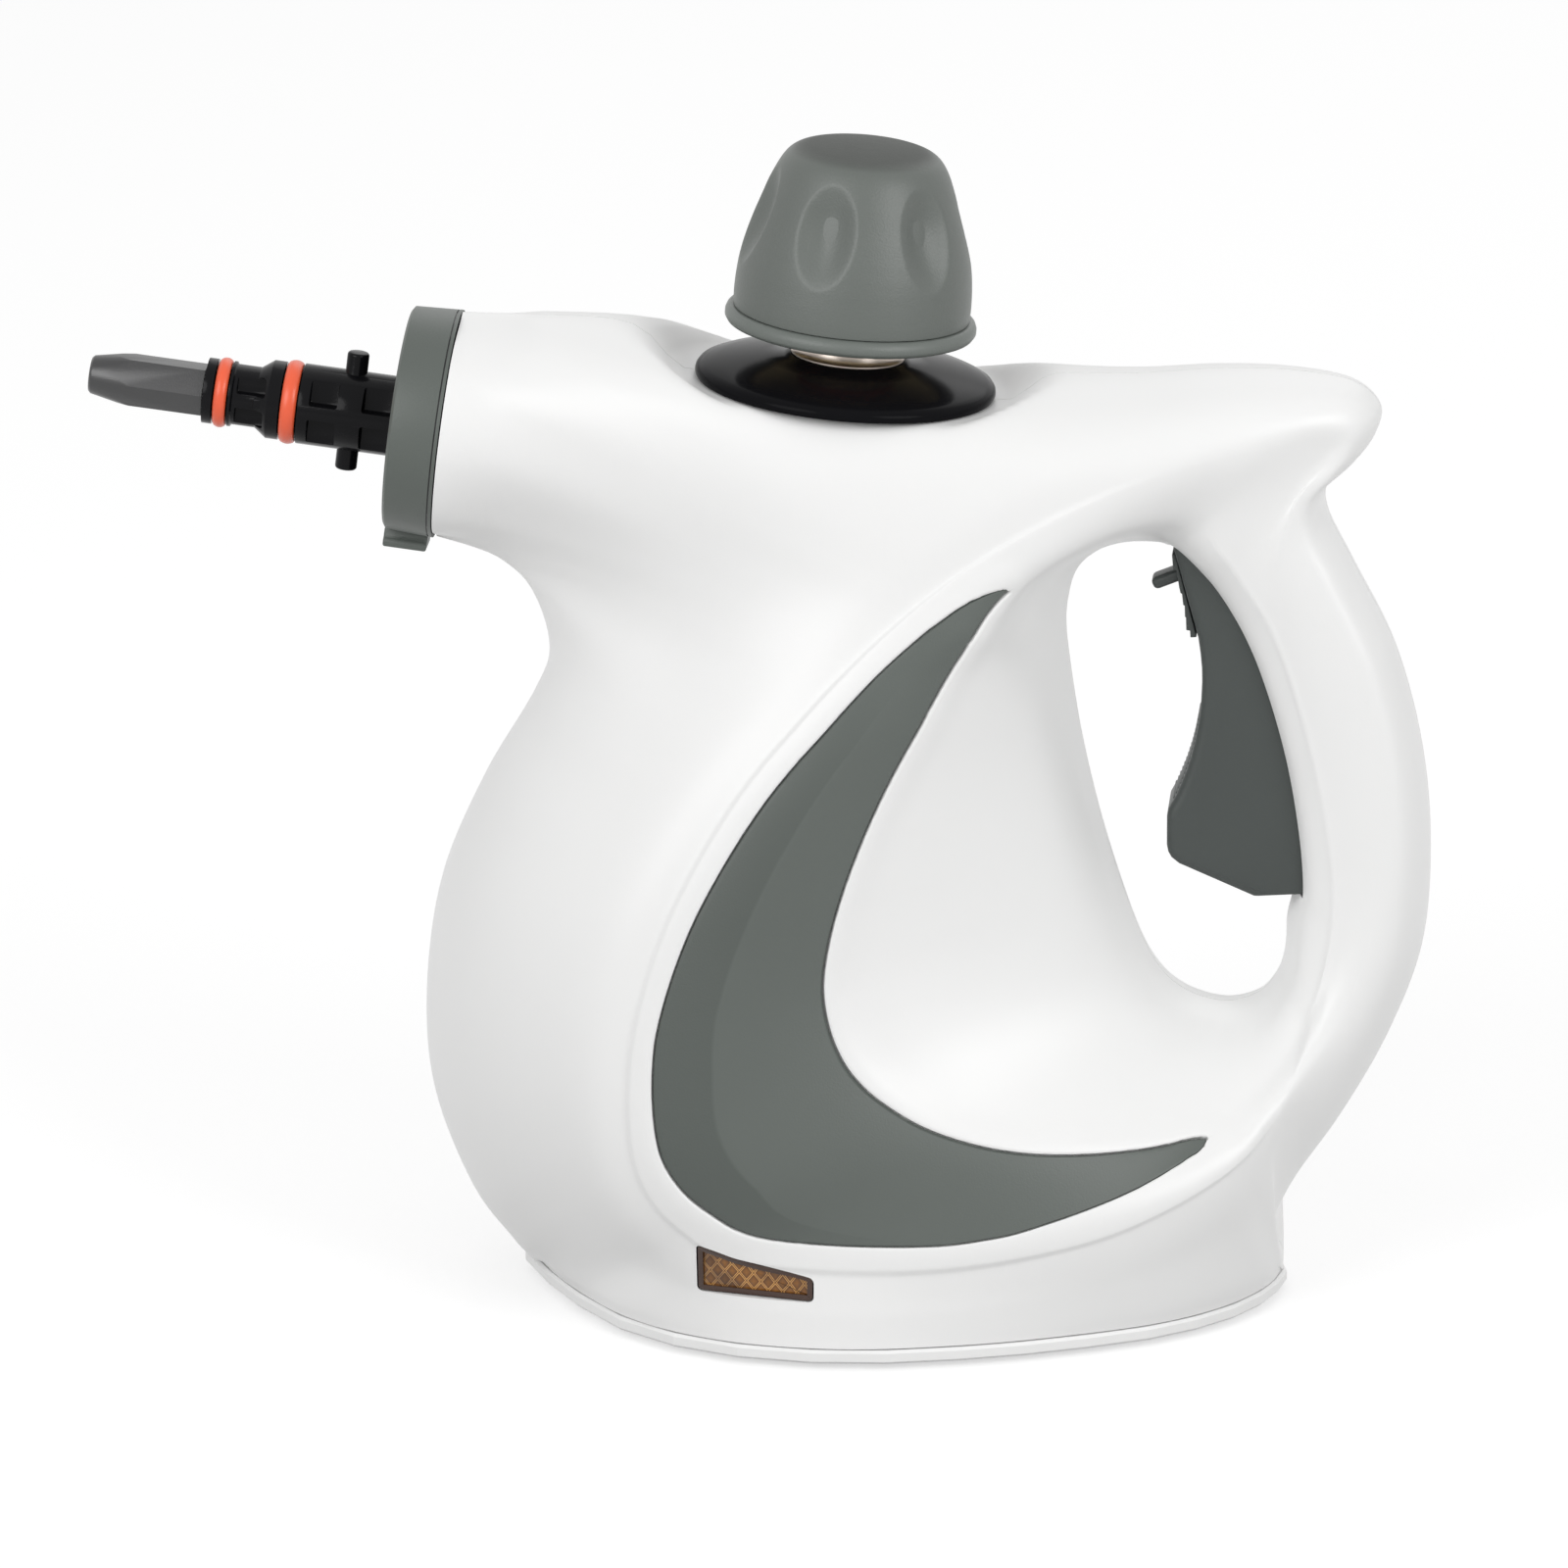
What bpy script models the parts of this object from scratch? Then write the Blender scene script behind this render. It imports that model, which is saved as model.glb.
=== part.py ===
"""Handheld steam cleaner with a screw cap, a bayonet nozzle and a trigger in its looped handle.

Metres, +Z up. The feet rest on Z = 0, the nozzle points along -X, the grip is at +X, and the two halves of
the body meet on Y = 0.
"""

import math

import bmesh
import bpy
import numpy as np
from mathutils import Vector
from mathutils.bvhtree import BVHTree

for old in list(bpy.data.objects):
    bpy.data.objects.remove(old, do_unlink=True)

# Driving dimensions of the body
REACH = 0.1436
HALF_WIDTH = 0.061
ARM_TOP = 0.2045
BASE_EDGE = 0.0043
WALL = 0.0025
CLEARANCE = 0.0003
SEAM = CLEARANCE / 2
OVERRUN = 0.004

# Snout and nozzle, as distances along the nozzle's axis from the snout's end
NOZZLE_TILT = math.radians(7.0)
COLLAR_RADIUS = 0.0248
RING_RADIUS = 0.0244
RING_BORE = 0.0205
RING_BACK = 0.0019
RING_FRONT = 0.0110
RING_EDGE = 0.0009
SEAT_RADIUS = 0.0242
SEAT_FRONT = 0.0060
TUBE_RADIUS = 0.0086
TUBE_BACK = 0.0120
BORE_RADIUS = 0.0015
PIN_PLACE = 0.0210
PIN_RADIUS = 0.00235
PIN_REACH = 0.0129
LARGE_SEAL_PLACE = 0.0340
LARGE_SEAL_RADIUS = 0.00875
LARGE_SEAL_WIDTH = 0.0034
SMALL_SEAL_PLACE = 0.0488
SMALL_SEAL_RADIUS = 0.0072
SMALL_SEAL_WIDTH = 0.0028
SEAL_DEPTH = 0.0021
WAIST_RADIUS = 0.0063
SHOULDER_LENGTH = 0.0018
FLANGE_RADIUS = 0.0067
FLANGE_LENGTH = 0.0020
TIP_RADIUS = 0.0058
TIP_END_RADIUS = 0.0041
TIP_LENGTH = 0.0246
TIP_EDGE = 0.0005
TIP_BORE = 0.0010

# Filler, cap and boiler, as heights along the cap's axis from the disc's edge
CAP_TILT = math.radians(4.8)
DISC_RADIUS = 0.0320
DISC_RIM = 0.0012
DISC_CROWN = 0.0042
DISC_HUB = 0.0135
HUB_STEP = 0.0008
SEAT_DROP = 0.0015
NECK_RADIUS = 0.0110
NECK_BORE = 0.0086
NECK_TOP = 0.0104
NECK_FOOT = 0.0040
NECK_FLANGE = 0.0140
NECK_FLANGE_THICK = 0.0026
CAP_RIM_RADIUS = 0.0267
CAP_RIM_BOTTOM = 0.0110
CAP_RIM_HEIGHT = 0.0035
CAP_RIM_THICK = 0.0034
CAP_EDGE = 0.0008
CAP_RADIUS = 0.0252
CAP_HEIGHT = 0.0360
CAP_WALL = 0.0024
DIMPLE_DEPTH = 0.0034
DIMPLES = 6
PLUG_DROP = 0.0140
THREAD_DEPTH = 0.0007
THREAD_PITCH = 0.0030
PLUG_FLANGE_THICK = 0.0017
PLUG_POST_RADIUS = 0.0080
PLUG_POST_HEIGHT = 0.0160
SEAL_WALL = 0.0026
BOILER_RADIUS = 0.0340
BOILER_DROP = 0.0600
BOILER_HEIGHT = 0.1040
BOILER_WALL = 0.0015
BOILER_EDGE = 0.0040
HEATER_RADIUS = 0.0310
HEATER_THICK = 0.0080
HEATER_SKIRT = 0.0040
HEATER_SKIRT_THICK = 0.0060
CRADLE_RADIUS = 0.0330
CRADLE_BORE = 0.0210
CRADLE_THICK = 0.0032
POST_RADIUS = 0.0040
POST_CIRCLE = 0.0270
THERMOSTAT_RADIUS = 0.0070
THERMOSTAT_HEIGHT = 0.0060
FUSE_RADIUS = 0.0030
FITTING_CIRCLE = 0.0225

# Base plate, feet and screws
PLATE_RIM = 0.0008
PLATE_EDGE = 0.0006
PLATE_GAP = 0.0025
PLATE_UPSTAND = 0.0030
PLATE_UPSTAND_WALL = 0.0016
FOOT_RADIUS = 0.0060
FOOT_PROUD = 0.0010
FOOT_SUNK = 0.0012
SCREW_RADIUS = 0.0015
SCREW_HEAD_RADIUS = 0.0032
SCREW_HEAD = 0.0020
BASE_SCREW_HEAD = 0.0010
SCREW_GRIP = 0.0090
BOSS_RADIUS = 0.0045
POCKET_DEPTH = 0.0050

# Trigger, lock slider and steam valve
TRIGGER_HALF = 0.0087
PIVOT_RADIUS = 0.0015
LEVER_THICK = 0.0050
SPRING_RADIUS = 0.0027
SPRING_WIRE = 0.0005
SPRING_TURNS = 2
SLIDER_HALF = 0.0060
SLIDER_THICK = 0.0038
SLIDER_STEP = 0.0007
SLIDER_STEPS = 6
TAB_REACH = 0.0080
TAB_THICK = 0.0022
VALVE_RADIUS = 0.0060
VALVE_LENGTH = 0.0260
STEM_RADIUS = 0.0015
STEM_HEAD_RADIUS = 0.0030
STEM_HEAD = 0.0025
STEM_LENGTH = 0.0150
VALVE_GAP = 0.0032
STEM_GAP = 0.0008
PIPE_RADIUS = 0.0025
PIPE_SWING = 0.0150

# Trims, lamp and electrics
TRIM_THICK = 0.0010
LENS_THICK = 0.0022
LAMP_RADIUS = 0.0025
LAMP_LENGTH = 0.0140
BLOCK_LENGTH = 0.0240
BLOCK_WIDTH = 0.0160
BLOCK_HEIGHT = 0.0100
GLAND_RADIUS = 0.0057
GLAND_LENGTH = 0.0120
GLAND_LIP = 0.0020

# Counts
ROWS = 49
COLUMN_STEPS = 2
ROUND = 28
FINE = 20
SMALL = 12

# Places on the body as shares of REACH and ARM_TOP
COLLAR_SHARES = (-0.462, 0.924)
CAP_SHARES = (0.126, 0.982)
PIVOT_SHARES = (0.703, 0.841)
VALVE_SHARES = (0.612, 0.910)
SIDE_SCREW_SHARES = ((-0.320, 0.866), (-0.265, 0.303), (0.638, 0.130), (0.864, 0.357), (0.766, 0.910))
FOOT_SHARES = ((-0.167, 0.490), (0.543, 0.440))
BLOCK_SHARE = 0.520
GLAND_SHARES = (0.769, 0.093)
# Outline round the grip, where its shells part from the body's: up the arm, through the hand opening and out
# under the grip's root
GRIP_SPLIT_SHARES = ((0.529, 1.120), (0.529, 0.587), (0.752, 0.362), (0.933, 0.142), (1.200, 0.142), (1.200, 1.120))

# The body's rings, each row a spoke counted round the hand opening from its top by way of the snout, belly,
# base, toe, grip and tail: shares of REACH, HALF_WIDTH and ARM_TOP
OPENING_SHARES = (
    (0, 0.578, 0.0, 0.817), (1, 0.543, 0.0, 0.816), (2, 0.515, 0.0, 0.811), (3, 0.494, 0.0, 0.802),
    (4, 0.476, 0.0, 0.789), (5, 0.464, 0.0, 0.772), (6, 0.458, 0.0, 0.753), (8, 0.455, 0.0, 0.724),
    (10, 0.460, 0.0, 0.687), (12, 0.469, 0.0, 0.643), (14, 0.483, 0.0, 0.589), (16, 0.510, 0.0, 0.511),
    (18, 0.545, 0.0, 0.433), (20, 0.575, 0.0, 0.379), (22, 0.604, 0.0, 0.346), (24, 0.634, 0.0, 0.328),
    (26, 0.670, 0.0, 0.318), (28, 0.709, 0.0, 0.316), (30, 0.753, 0.0, 0.329), (32, 0.779, 0.0, 0.357),
    (34, 0.787, 0.0, 0.389), (35.5, 0.789, 0.0, 0.421), (37, 0.802, 0.0, 0.450),
    (39, 0.790, 0.0, 0.543), (40.5, 0.770, 0.0, 0.609), (42, 0.735, 0.0, 0.685),
    (44, 0.689, 0.0, 0.751), (46, 0.646, 0.0, 0.790), (47.5, 0.609, 0.0, 0.812),
)
BAND_SHARES = (
    (0, 0.627, -0.311, 0.861), (2, 0.529, -0.418, 0.853), (4, 0.439, -0.508, 0.826),
    (6, 0.380, -0.557, 0.794), (8, 0.338, -0.615, 0.756), (10, 0.299, -0.644, 0.719),
    (12, 0.258, -0.680, 0.665), (14, 0.205, -0.721, 0.594), (16, 0.150, -0.770, 0.496),
    (18, 0.122, -0.808, 0.396), (20, 0.153, -0.833, 0.318), (22, 0.223, -0.836, 0.269),
    (24, 0.320, -0.826, 0.236), (26, 0.453, -0.775, 0.217), (28, 0.627, -0.615, 0.217),
    (30, 0.731, -0.434, 0.252), (32, 0.794, -0.328, 0.291), (34, 0.827, -0.279, 0.330),
    (36, 0.852, -0.246, 0.386), (38, 0.859, -0.233, 0.474), (40, 0.826, -0.230, 0.606),
    (42, 0.776, -0.230, 0.719), (44, 0.728, -0.241, 0.782), (46, 0.687, -0.267, 0.824),
)
CREASE_SHARES = (
    (0, 0.662, -0.369, 0.927), (2, 0.515, -0.467, 0.894), (4, 0.397, -0.554, 0.856),
    (6, 0.306, -0.616, 0.817), (8, 0.230, -0.667, 0.775), (10, 0.153, -0.718, 0.724),
    (12, 0.077, -0.766, 0.665), (14, -0.010, -0.815, 0.587), (16, -0.103, -0.869, 0.465),
    (18, -0.155, -0.908, 0.333), (20, -0.150, -0.939, 0.208), (22, -0.077, -0.957, 0.139),
    (24, 0.035, -0.967, 0.110), (26, 0.292, -0.951, 0.108), (28, 0.536, -0.823, 0.134),
    (30, 0.703, -0.639, 0.183), (32, 0.769, -0.508, 0.222), (34, 0.808, -0.426, 0.259),
    (36, 0.881, -0.307, 0.340), (38, 0.925, -0.256, 0.487), (40, 0.881, -0.249, 0.692),
    (41, 0.831, -0.249, 0.775), (42, 0.794, -0.251, 0.826), (43, 0.789, -0.251, 0.861),
    (44, 0.808, -0.238, 0.890), (45, 0.832, -0.216, 0.912), (46, 0.839, -0.213, 0.931),
    (47, 0.801, -0.256, 0.940), (48, 0.738, -0.315, 0.936),
)
OUTLINE_SHARES = (
    (0, 0.675, 0.0, 1.000), (1, 0.543, 0.0, 0.993), (2, 0.397, 0.0, 0.996), (3, 0.209, 0.0, 1.014),
    (4, 0.014, 0.0, 1.028), (5, -0.188, 0.0, 1.041), (11, -0.403, 0.0, 0.788),
    (12, -0.345, 0.0, 0.754), (13, -0.315, 0.0, 0.690), (14, -0.339, 0.0, 0.637),
    (15, -0.414, 0.0, 0.545), (16, -0.478, 0.0, 0.436), (17, -0.502, 0.0, 0.317),
    (18, -0.492, 0.0, 0.208), (19, -0.434, 0.0, 0.100), (20, -0.373, 0.0, 0.042),
    (32, 0.787, 0.0, 0.044), (33, 0.772, 0.0, 0.069), (34, 0.803, 0.0, 0.123), (35, 0.875, 0.0, 0.200),
    (36, 0.942, 0.0, 0.288), (37, 0.990, 0.0, 0.385), (38, 1.000, 0.0, 0.493), (39, 0.985, 0.0, 0.600),
    (40, 0.944, 0.0, 0.705), (41, 0.880, 0.0, 0.794), (42, 0.840, 0.0, 0.851), (43, 0.842, 0.0, 0.885),
    (44, 0.882, 0.0, 0.910), (45, 0.909, 0.0, 0.936), (46, 0.915, 0.0, 0.965), (47, 0.873, 0.0, 0.990),
    (48, 0.780, 0.0, 1.000),
)
# The body's lower edge: row, shares of REACH and HALF_WIDTH
EDGE_SHARES = (
    (21, -0.352, 0.0), (22, -0.282, -0.361), (23, -0.167, -0.738), (24, -0.021, -0.943),
    (25, 0.153, -1.000), (26, 0.327, -0.926), (27, 0.474, -0.803), (28, 0.613, -0.639),
    (29, 0.710, -0.434), (30, 0.768, -0.205), (31, 0.789, 0.0),
)
# How far the opening's rounded lip lies towards the band, and its depth as a share of HALF_WIDTH
LIP_SHARES = (
    (0, 0.35, -0.205), (3, 0.40, -0.246), (6, 0.42, -0.279), (10, 0.26, -0.311), (16, 0.13, -0.311),
    (20, 0.12, -0.295), (24, 0.12, -0.262), (28, 0.20, -0.230), (31, 0.35, -0.197), (34, 0.40, -0.180),
    (37, 0.30, -0.177), (44, 0.30, -0.177), (46.5, 0.30, -0.189),
)
# How full the shoulder is between crease and outline: 1 is round, 0 is hollow
FULLNESS_SHARES = (
    (0, 1.00), (2, 1.15), (4, 1.40), (5, 1.30), (6, 0.83), (7, 0.28), (8, -0.05), (9, -0.60), (10, -0.25),
    (11, 0.05), (12, 0.25), (13, 0.40), (14, 0.60), (15, 0.85), (16, 1.00), (18, 1.00), (19, 0.92),
    (20, 0.72), (21, 0.50), (22, 0.32), (23, 0.20), (24, 0.12), (26, 0.10), (28, 0.12), (30, 0.30),
    (31, 0.45), (32, 0.60), (33, 0.75), (34, 0.85), (36, 1.00), (47, 1.00),
)
CORNER_ROWS = (6, 10, 21, 31)
# Where the body's mesh has rows closer than one: first row, last row, spacing
FINE_ROWS = ((5, 6, 0.5), (6, 10, 0.25), (10, 21, 0.5), (31, 37, 0.5), (41, 49, 0.5))
SHOULDERS = ((math.radians(30), 4), (math.radians(60), 1))
# The crescent trim's outer edge: row, share of the way from the band's edge to the crease
TRIM_SHARES = (
    (5.2, 0.05), (6, 0.28), (7, 0.50), (8, 0.66), (10, 0.74), (12, 0.77), (16, 0.84), (18, 0.865),
    (20, 0.85), (22, 0.82), (24, 0.80), (26, 0.77), (27, 0.70), (28, 0.56), (29, 0.22), (29.4, 0.08),
)
TRIM_START = 5.6
TRIM_END = 29.1
TRIM_INNER_SHARE = 0.02
TRIM_END_GAP = 0.1
TRIM_STEPS = 37
SLOT_ROWS = (35.6, 47.9)
SLOT_FRONT = 0.0080
SLOT_BACK = 0.0090
SCOOP_BLEND = 0.0032
SCOOP_LIP = 0.0052
SCOOP_SLOPE_SHARE = 0.42
SCOOP_FLAT = 0.0028
SCOOP_LIMIT = 0.0280
SCOOP_SOFTNESS = 0.0012

# Side outlines as shares of REACH and ARM_TOP
TRIGGER_SHARES = (
    (0.839, 0.434), (0.739, 0.430), (0.620, 0.465), (0.604, 0.487), (0.606, 0.521), (0.623, 0.547),
    (0.641, 0.587), (0.653, 0.632), (0.655, 0.678), (0.652, 0.712), (0.650, 0.743), (0.650, 0.782),
    (0.655, 0.822), (0.658, 0.861), (0.653, 0.927), (0.689, 0.927), (0.717, 0.880), (0.742, 0.856),
    (0.742, 0.822), (0.735, 0.782), (0.763, 0.724), (0.790, 0.672), (0.815, 0.614), (0.832, 0.557),
    (0.843, 0.504),
)
SLIDER_SHARES = ((0.650, 0.795), (0.652, 0.705))
WINDOW_SHARES = ((-0.060, 0.119), (0.020, 0.104), (0.106, 0.094), (0.109, 0.073), (-0.058, 0.073))
STEAM_ROUTE_SHARES = ((0.404, 0.929), (0.279, 0.929), (0.126, 0.919), (-0.070, 0.914), (-0.279, 0.914))
STEAM_ROUTE_SWING_SHARES = (0.67, 1.0, 1.07, 0.8, 0.2)
# The feed pipe's bends as shares of the way from its rise to the valve, across and up
FEED_ROUTE_SHARES = ((0.034, -0.009), (0.246, 0.376), (0.560, 0.737))

# Colour, roughness and metallic value of each look
WHITE = ((0.88, 0.87, 0.84), 0.34, 0.0)
GREY = ((0.125, 0.145, 0.125), 0.45, 0.0)
DARK_GREY = ((0.070, 0.084, 0.080), 0.45, 0.0)
BLACK = ((0.012, 0.012, 0.012), 0.16, 0.0)
SATIN_BLACK = ((0.020, 0.020, 0.020), 0.38, 0.0)
ORANGE = ((0.83, 0.12, 0.05), 0.40, 0.0)
AMBER = ((0.70, 0.26, 0.03), 0.12, 0.0)
STEEL = ((0.55, 0.54, 0.51), 0.30, 1.0)
BRASS = ((0.62, 0.48, 0.22), 0.32, 1.0)
ALUMINIUM = ((0.60, 0.61, 0.62), 0.42, 1.0)
RUBBER = ((0.020, 0.020, 0.020), 0.80, 0.0)
CREAM = ((0.62, 0.58, 0.48), 0.50, 0.0)
SHARP = math.radians(38)

NOZZLE_UP = np.array([math.sin(NOZZLE_TILT), 0.0, math.cos(NOZZLE_TILT)])
NOZZLE_ALONG = np.array([-math.cos(NOZZLE_TILT), 0.0, math.sin(NOZZLE_TILT)])
NOZZLE_TURN = -math.acos(NOZZLE_ALONG[2])
CAP_AXIS = np.array([math.sin(CAP_TILT), 0.0, math.cos(CAP_TILT)])
NEAR = np.array([0.0, -1.0, 0.0])
MIRROR = np.array([1.0, -1.0, 1.0])


def spot(shares, y=0.0):
    """A place in the middle plane, or y off it, from its shares of REACH and ARM_TOP."""
    return np.array([shares[0] * REACH, y, shares[1] * ARM_TOP])


COLLAR = spot(COLLAR_SHARES)
CAP_SEAT = spot(CAP_SHARES)
PIVOT = spot(PIVOT_SHARES)
VALVE = spot(VALVE_SHARES)


# Making objects

def finish(name, shape, look, place=(0.0, 0.0, 0.0), tilt=0.0):
    """Turns a bmesh into a named, painted object whose faces point outward."""
    bmesh.ops.recalc_face_normals(shape, faces=shape.faces)
    mesh = bpy.data.meshes.new(name)
    shape.to_mesh(mesh)
    shape.free()
    mesh.shade_smooth()
    mesh.set_sharp_from_angle(angle=SHARP)
    made = bpy.data.objects.new(name, mesh)
    made.location = place
    made.rotation_euler = (0.0, tilt, 0.0)
    bpy.context.scene.collection.objects.link(made)
    paint(made, look)
    return made


def paint(made, look):
    """Gives the object a Principled material of its own."""
    colour, roughness, metallic = look
    material = bpy.data.materials.new(made.name)
    material.use_nodes = True
    surface = material.node_tree.nodes["Principled BSDF"]
    surface.inputs["Base Color"].default_value = (*colour, 1.0)
    surface.inputs["Roughness"].default_value = roughness
    surface.inputs["Metallic"].default_value = metallic
    made.data.materials.append(material)


def grid_faces(shape, rows, closed):
    """Joins each row of vertices to the next with quads, and the last to the first where closed."""
    pairs = list(zip(rows, rows[1:]))
    if closed:
        pairs.append((rows[-1], rows[0]))
    for lower, upper in pairs:
        count = max(len(lower), len(upper))
        if count == 1:
            continue
        for here in range(count):
            after = (here + 1) % count
            corners = [lower[here % len(lower)], lower[after % len(lower)]]
            corners += [upper[after % len(upper)], upper[here % len(upper)]]
            shape.faces.new(list(dict.fromkeys(corners)))


def turned(name, profile, look, place, tilt=0.0, sides=ROUND, swell=None):
    """Revolves (radius, height) pairs; ends on the axis close it, otherwise the profile is a loop."""
    shape = bmesh.new()
    rows = []
    for radius, height in profile:
        if radius == 0:
            rows.append([shape.verts.new((0.0, 0.0, height))])
            continue
        row = []
        for side in range(sides):
            angle = math.tau * side / sides
            reach = radius - (swell(radius, height, angle) if swell else 0.0)
            row.append(shape.verts.new((reach * math.cos(angle), reach * math.sin(angle), height)))
        rows.append(row)
    grid_faces(shape, rows, closed=profile[0][0] > 0)
    return finish(name, shape, look, place, tilt)


def prism(name, outline, half, look, middle=0.0):
    """Extrudes an (x, z) outline to both sides of the plane y = middle."""
    shape = bmesh.new()
    rows = [[shape.verts.new((x, middle + side * half, z)) for x, z in outline] for side in (-1, 1)]
    grid_faces(shape, rows, closed=False)
    for row in rows:
        shape.faces.new(row)
    return finish(name, shape, look)


def upright(name, radius, bottom, top, look, x, y, sides=SMALL):
    """A vertical cylinder."""
    return turned(name, ((0, bottom), (radius, bottom), (radius, top), (0, top)), look, (x, y, 0.0),
                  sides=sides)


def crossways(name, profile, look, x, z, sides=SMALL):
    """A turned piece whose axis runs along Y, its heights being distances along +Y."""
    made = turned(name, profile, look, (x, 0.0, z), sides=sides)
    made.rotation_euler = (-math.pi / 2, 0.0, 0.0)
    return made


def tube(name, points, radius, look, depth=2):
    """A round bar through the points."""
    curve = bpy.data.curves.new(name, "CURVE")
    curve.dimensions = "3D"
    curve.bevel_depth = radius
    curve.bevel_resolution = depth
    curve.use_fill_caps = True
    spline = curve.splines.new("POLY")
    spline.points.add(len(points) - 1)
    for point, place in zip(spline.points, points):
        point.co = (*place, 1.0)
    made = bpy.data.objects.new(name, curve)
    bpy.context.scene.collection.objects.link(made)
    paint(made, look)
    return made


def smooth_route(route, steps):
    """Points on a smooth curve through the route's points."""
    ends = [2 * route[0] - route[1]] + list(route) + [2 * route[-1] - route[-2]]
    points = []
    for a, b, c, d in zip(ends, ends[1:], ends[2:], ends[3:]):
        for step in range(steps):
            t = step / steps
            first = 2 * b + (c - a) * t
            points.append((first + (2 * a - 5 * b + 4 * c - d) * t**2 + (3 * b - a - 3 * c + d) * t**3) / 2)
    return points + [route[-1]]


def change(piece, tool, operation):
    """Adds a Boolean to the piece and hides its tool."""
    tool.hide_render = True
    tool.display_type = "WIRE"
    step = piece.modifiers.new(tool.name, "BOOLEAN")
    step.operation = operation
    step.object = tool


def cut(piece, tool):
    change(piece, tool, "DIFFERENCE")


def weld(piece, tool):
    change(piece, tool, "UNION")


def joined(name, pieces):
    """One tool made of several separate bodies, in world space."""
    shape = bmesh.new()
    bpy.context.view_layer.update()
    for piece in pieces:
        piece.data.transform(piece.matrix_world)
        shape.from_mesh(piece.data)
        bpy.data.objects.remove(piece, do_unlink=True)
    return finish(name, shape, WHITE)


# The body's surface

def ring_curve(knots, rows, corners=()):
    """A smooth closed curve through (row, values) knots, read at the given rows; corners stay sharp."""
    at = np.array([knot[0] for knot in knots], float)
    value = np.array([knot[1:] for knot in knots], float)
    span = np.diff(np.append(at, at[0] + ROWS))
    slope = (np.roll(value, -1, axis=0) - value) / span[:, None]
    behind, span_behind = np.roll(slope, 1, axis=0), np.roll(span, 1)
    mean = (behind * span[:, None] + slope * span_behind[:, None]) / (span + span_behind)[:, None]
    sharp = np.isin(at, corners)[:, None]
    arriving, leaving = np.where(sharp, behind, mean), np.where(sharp, slope, mean)
    rows = np.asarray(rows, float) % ROWS
    rows = np.where(rows < at[0], rows + ROWS, rows)
    here = np.searchsorted(at, rows, side="right") - 1
    after = (here + 1) % len(at)
    t = ((rows - at[here]) / span[here])[:, None]
    pull = span[here][:, None]
    return (value[here] * (2 * t**3 - 3 * t**2 + 1) + leaving[here] * pull * (t**3 - 2 * t**2 + t)
            + value[after] * (3 * t**2 - 2 * t**3) + arriving[after] * pull * (t**3 - t**2))


def lengths(shares, sizes):
    """Rows of (row, shares) as rows of (row, lengths)."""
    return [(line[0], *(share * size for share, size in zip(line[1:], sizes))) for line in shares]


def outline_knots():
    """The outline in the middle plane, round the snout's end and along the body's lower edge."""
    knots = lengths(OUTLINE_SHARES, (REACH, HALF_WIDTH, ARM_TOP))
    knots += [(row, x, y, BASE_EDGE) for row, x, y in lengths(EDGE_SHARES, (REACH, HALF_WIDTH))]
    first, last = CORNER_ROWS[:2]
    for row in range(first, last + 1):
        angle = math.pi * (row - first) / (last - first)
        rim = COLLAR + COLLAR_RADIUS * (math.cos(angle) * NOZZLE_UP + math.sin(angle) * NEAR)
        knots.append((row, *rim))
    return sorted(knots)


def body_rings(rows):
    """The seven rings from the hand opening out to the outline, read at the given rows."""
    whole = np.arange(ROWS)
    sizes = (REACH, HALF_WIDTH, ARM_TOP)
    opening = ring_curve(lengths(OPENING_SHARES, sizes), whole)
    band = ring_curve(lengths(BAND_SHARES, sizes), whole)
    crease = ring_curve(lengths(CREASE_SHARES, sizes), whole)
    outline = ring_curve(outline_knots(), whole, CORNER_ROWS)
    lip_shares = ring_curve(LIP_SHARES, whole)
    lip = opening + (band - opening) * lip_shares[:, :1]
    lip[:, 1] = lip_shares[:, 1] * HALF_WIDTH
    fullness = ring_curve(FULLNESS_SHARES, whole)[:, 0]
    blended = (whole >= CORNER_ROWS[0] // 2) & (whole <= CORNER_ROWS[2])
    rings = [opening, lip, band, crease]
    for angle, passes in SHOULDERS:
        depth = fullness * math.cos(angle) + (1 - fullness) * (1 - math.sin(angle))
        shoulder = crease + (outline - crease) * math.sin(angle)
        shoulder[:, 1] = outline[:, 1] + (crease[:, 1] - outline[:, 1]) * depth
        for _ in range(passes):
            mean = (np.roll(shoulder, 1, axis=0) + 2 * shoulder + np.roll(shoulder, -1, axis=0)) / 4
            shoulder = np.where(blended[:, None], mean, shoulder)
        rings.append(shoulder)
    rings.append(outline)
    corners = [()] * (len(rings) - 1) + [CORNER_ROWS]
    read = [ring_curve(np.column_stack([whole, ring]), rows, sharp) for ring, sharp in zip(rings, corners)]
    return np.array(read)


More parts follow.
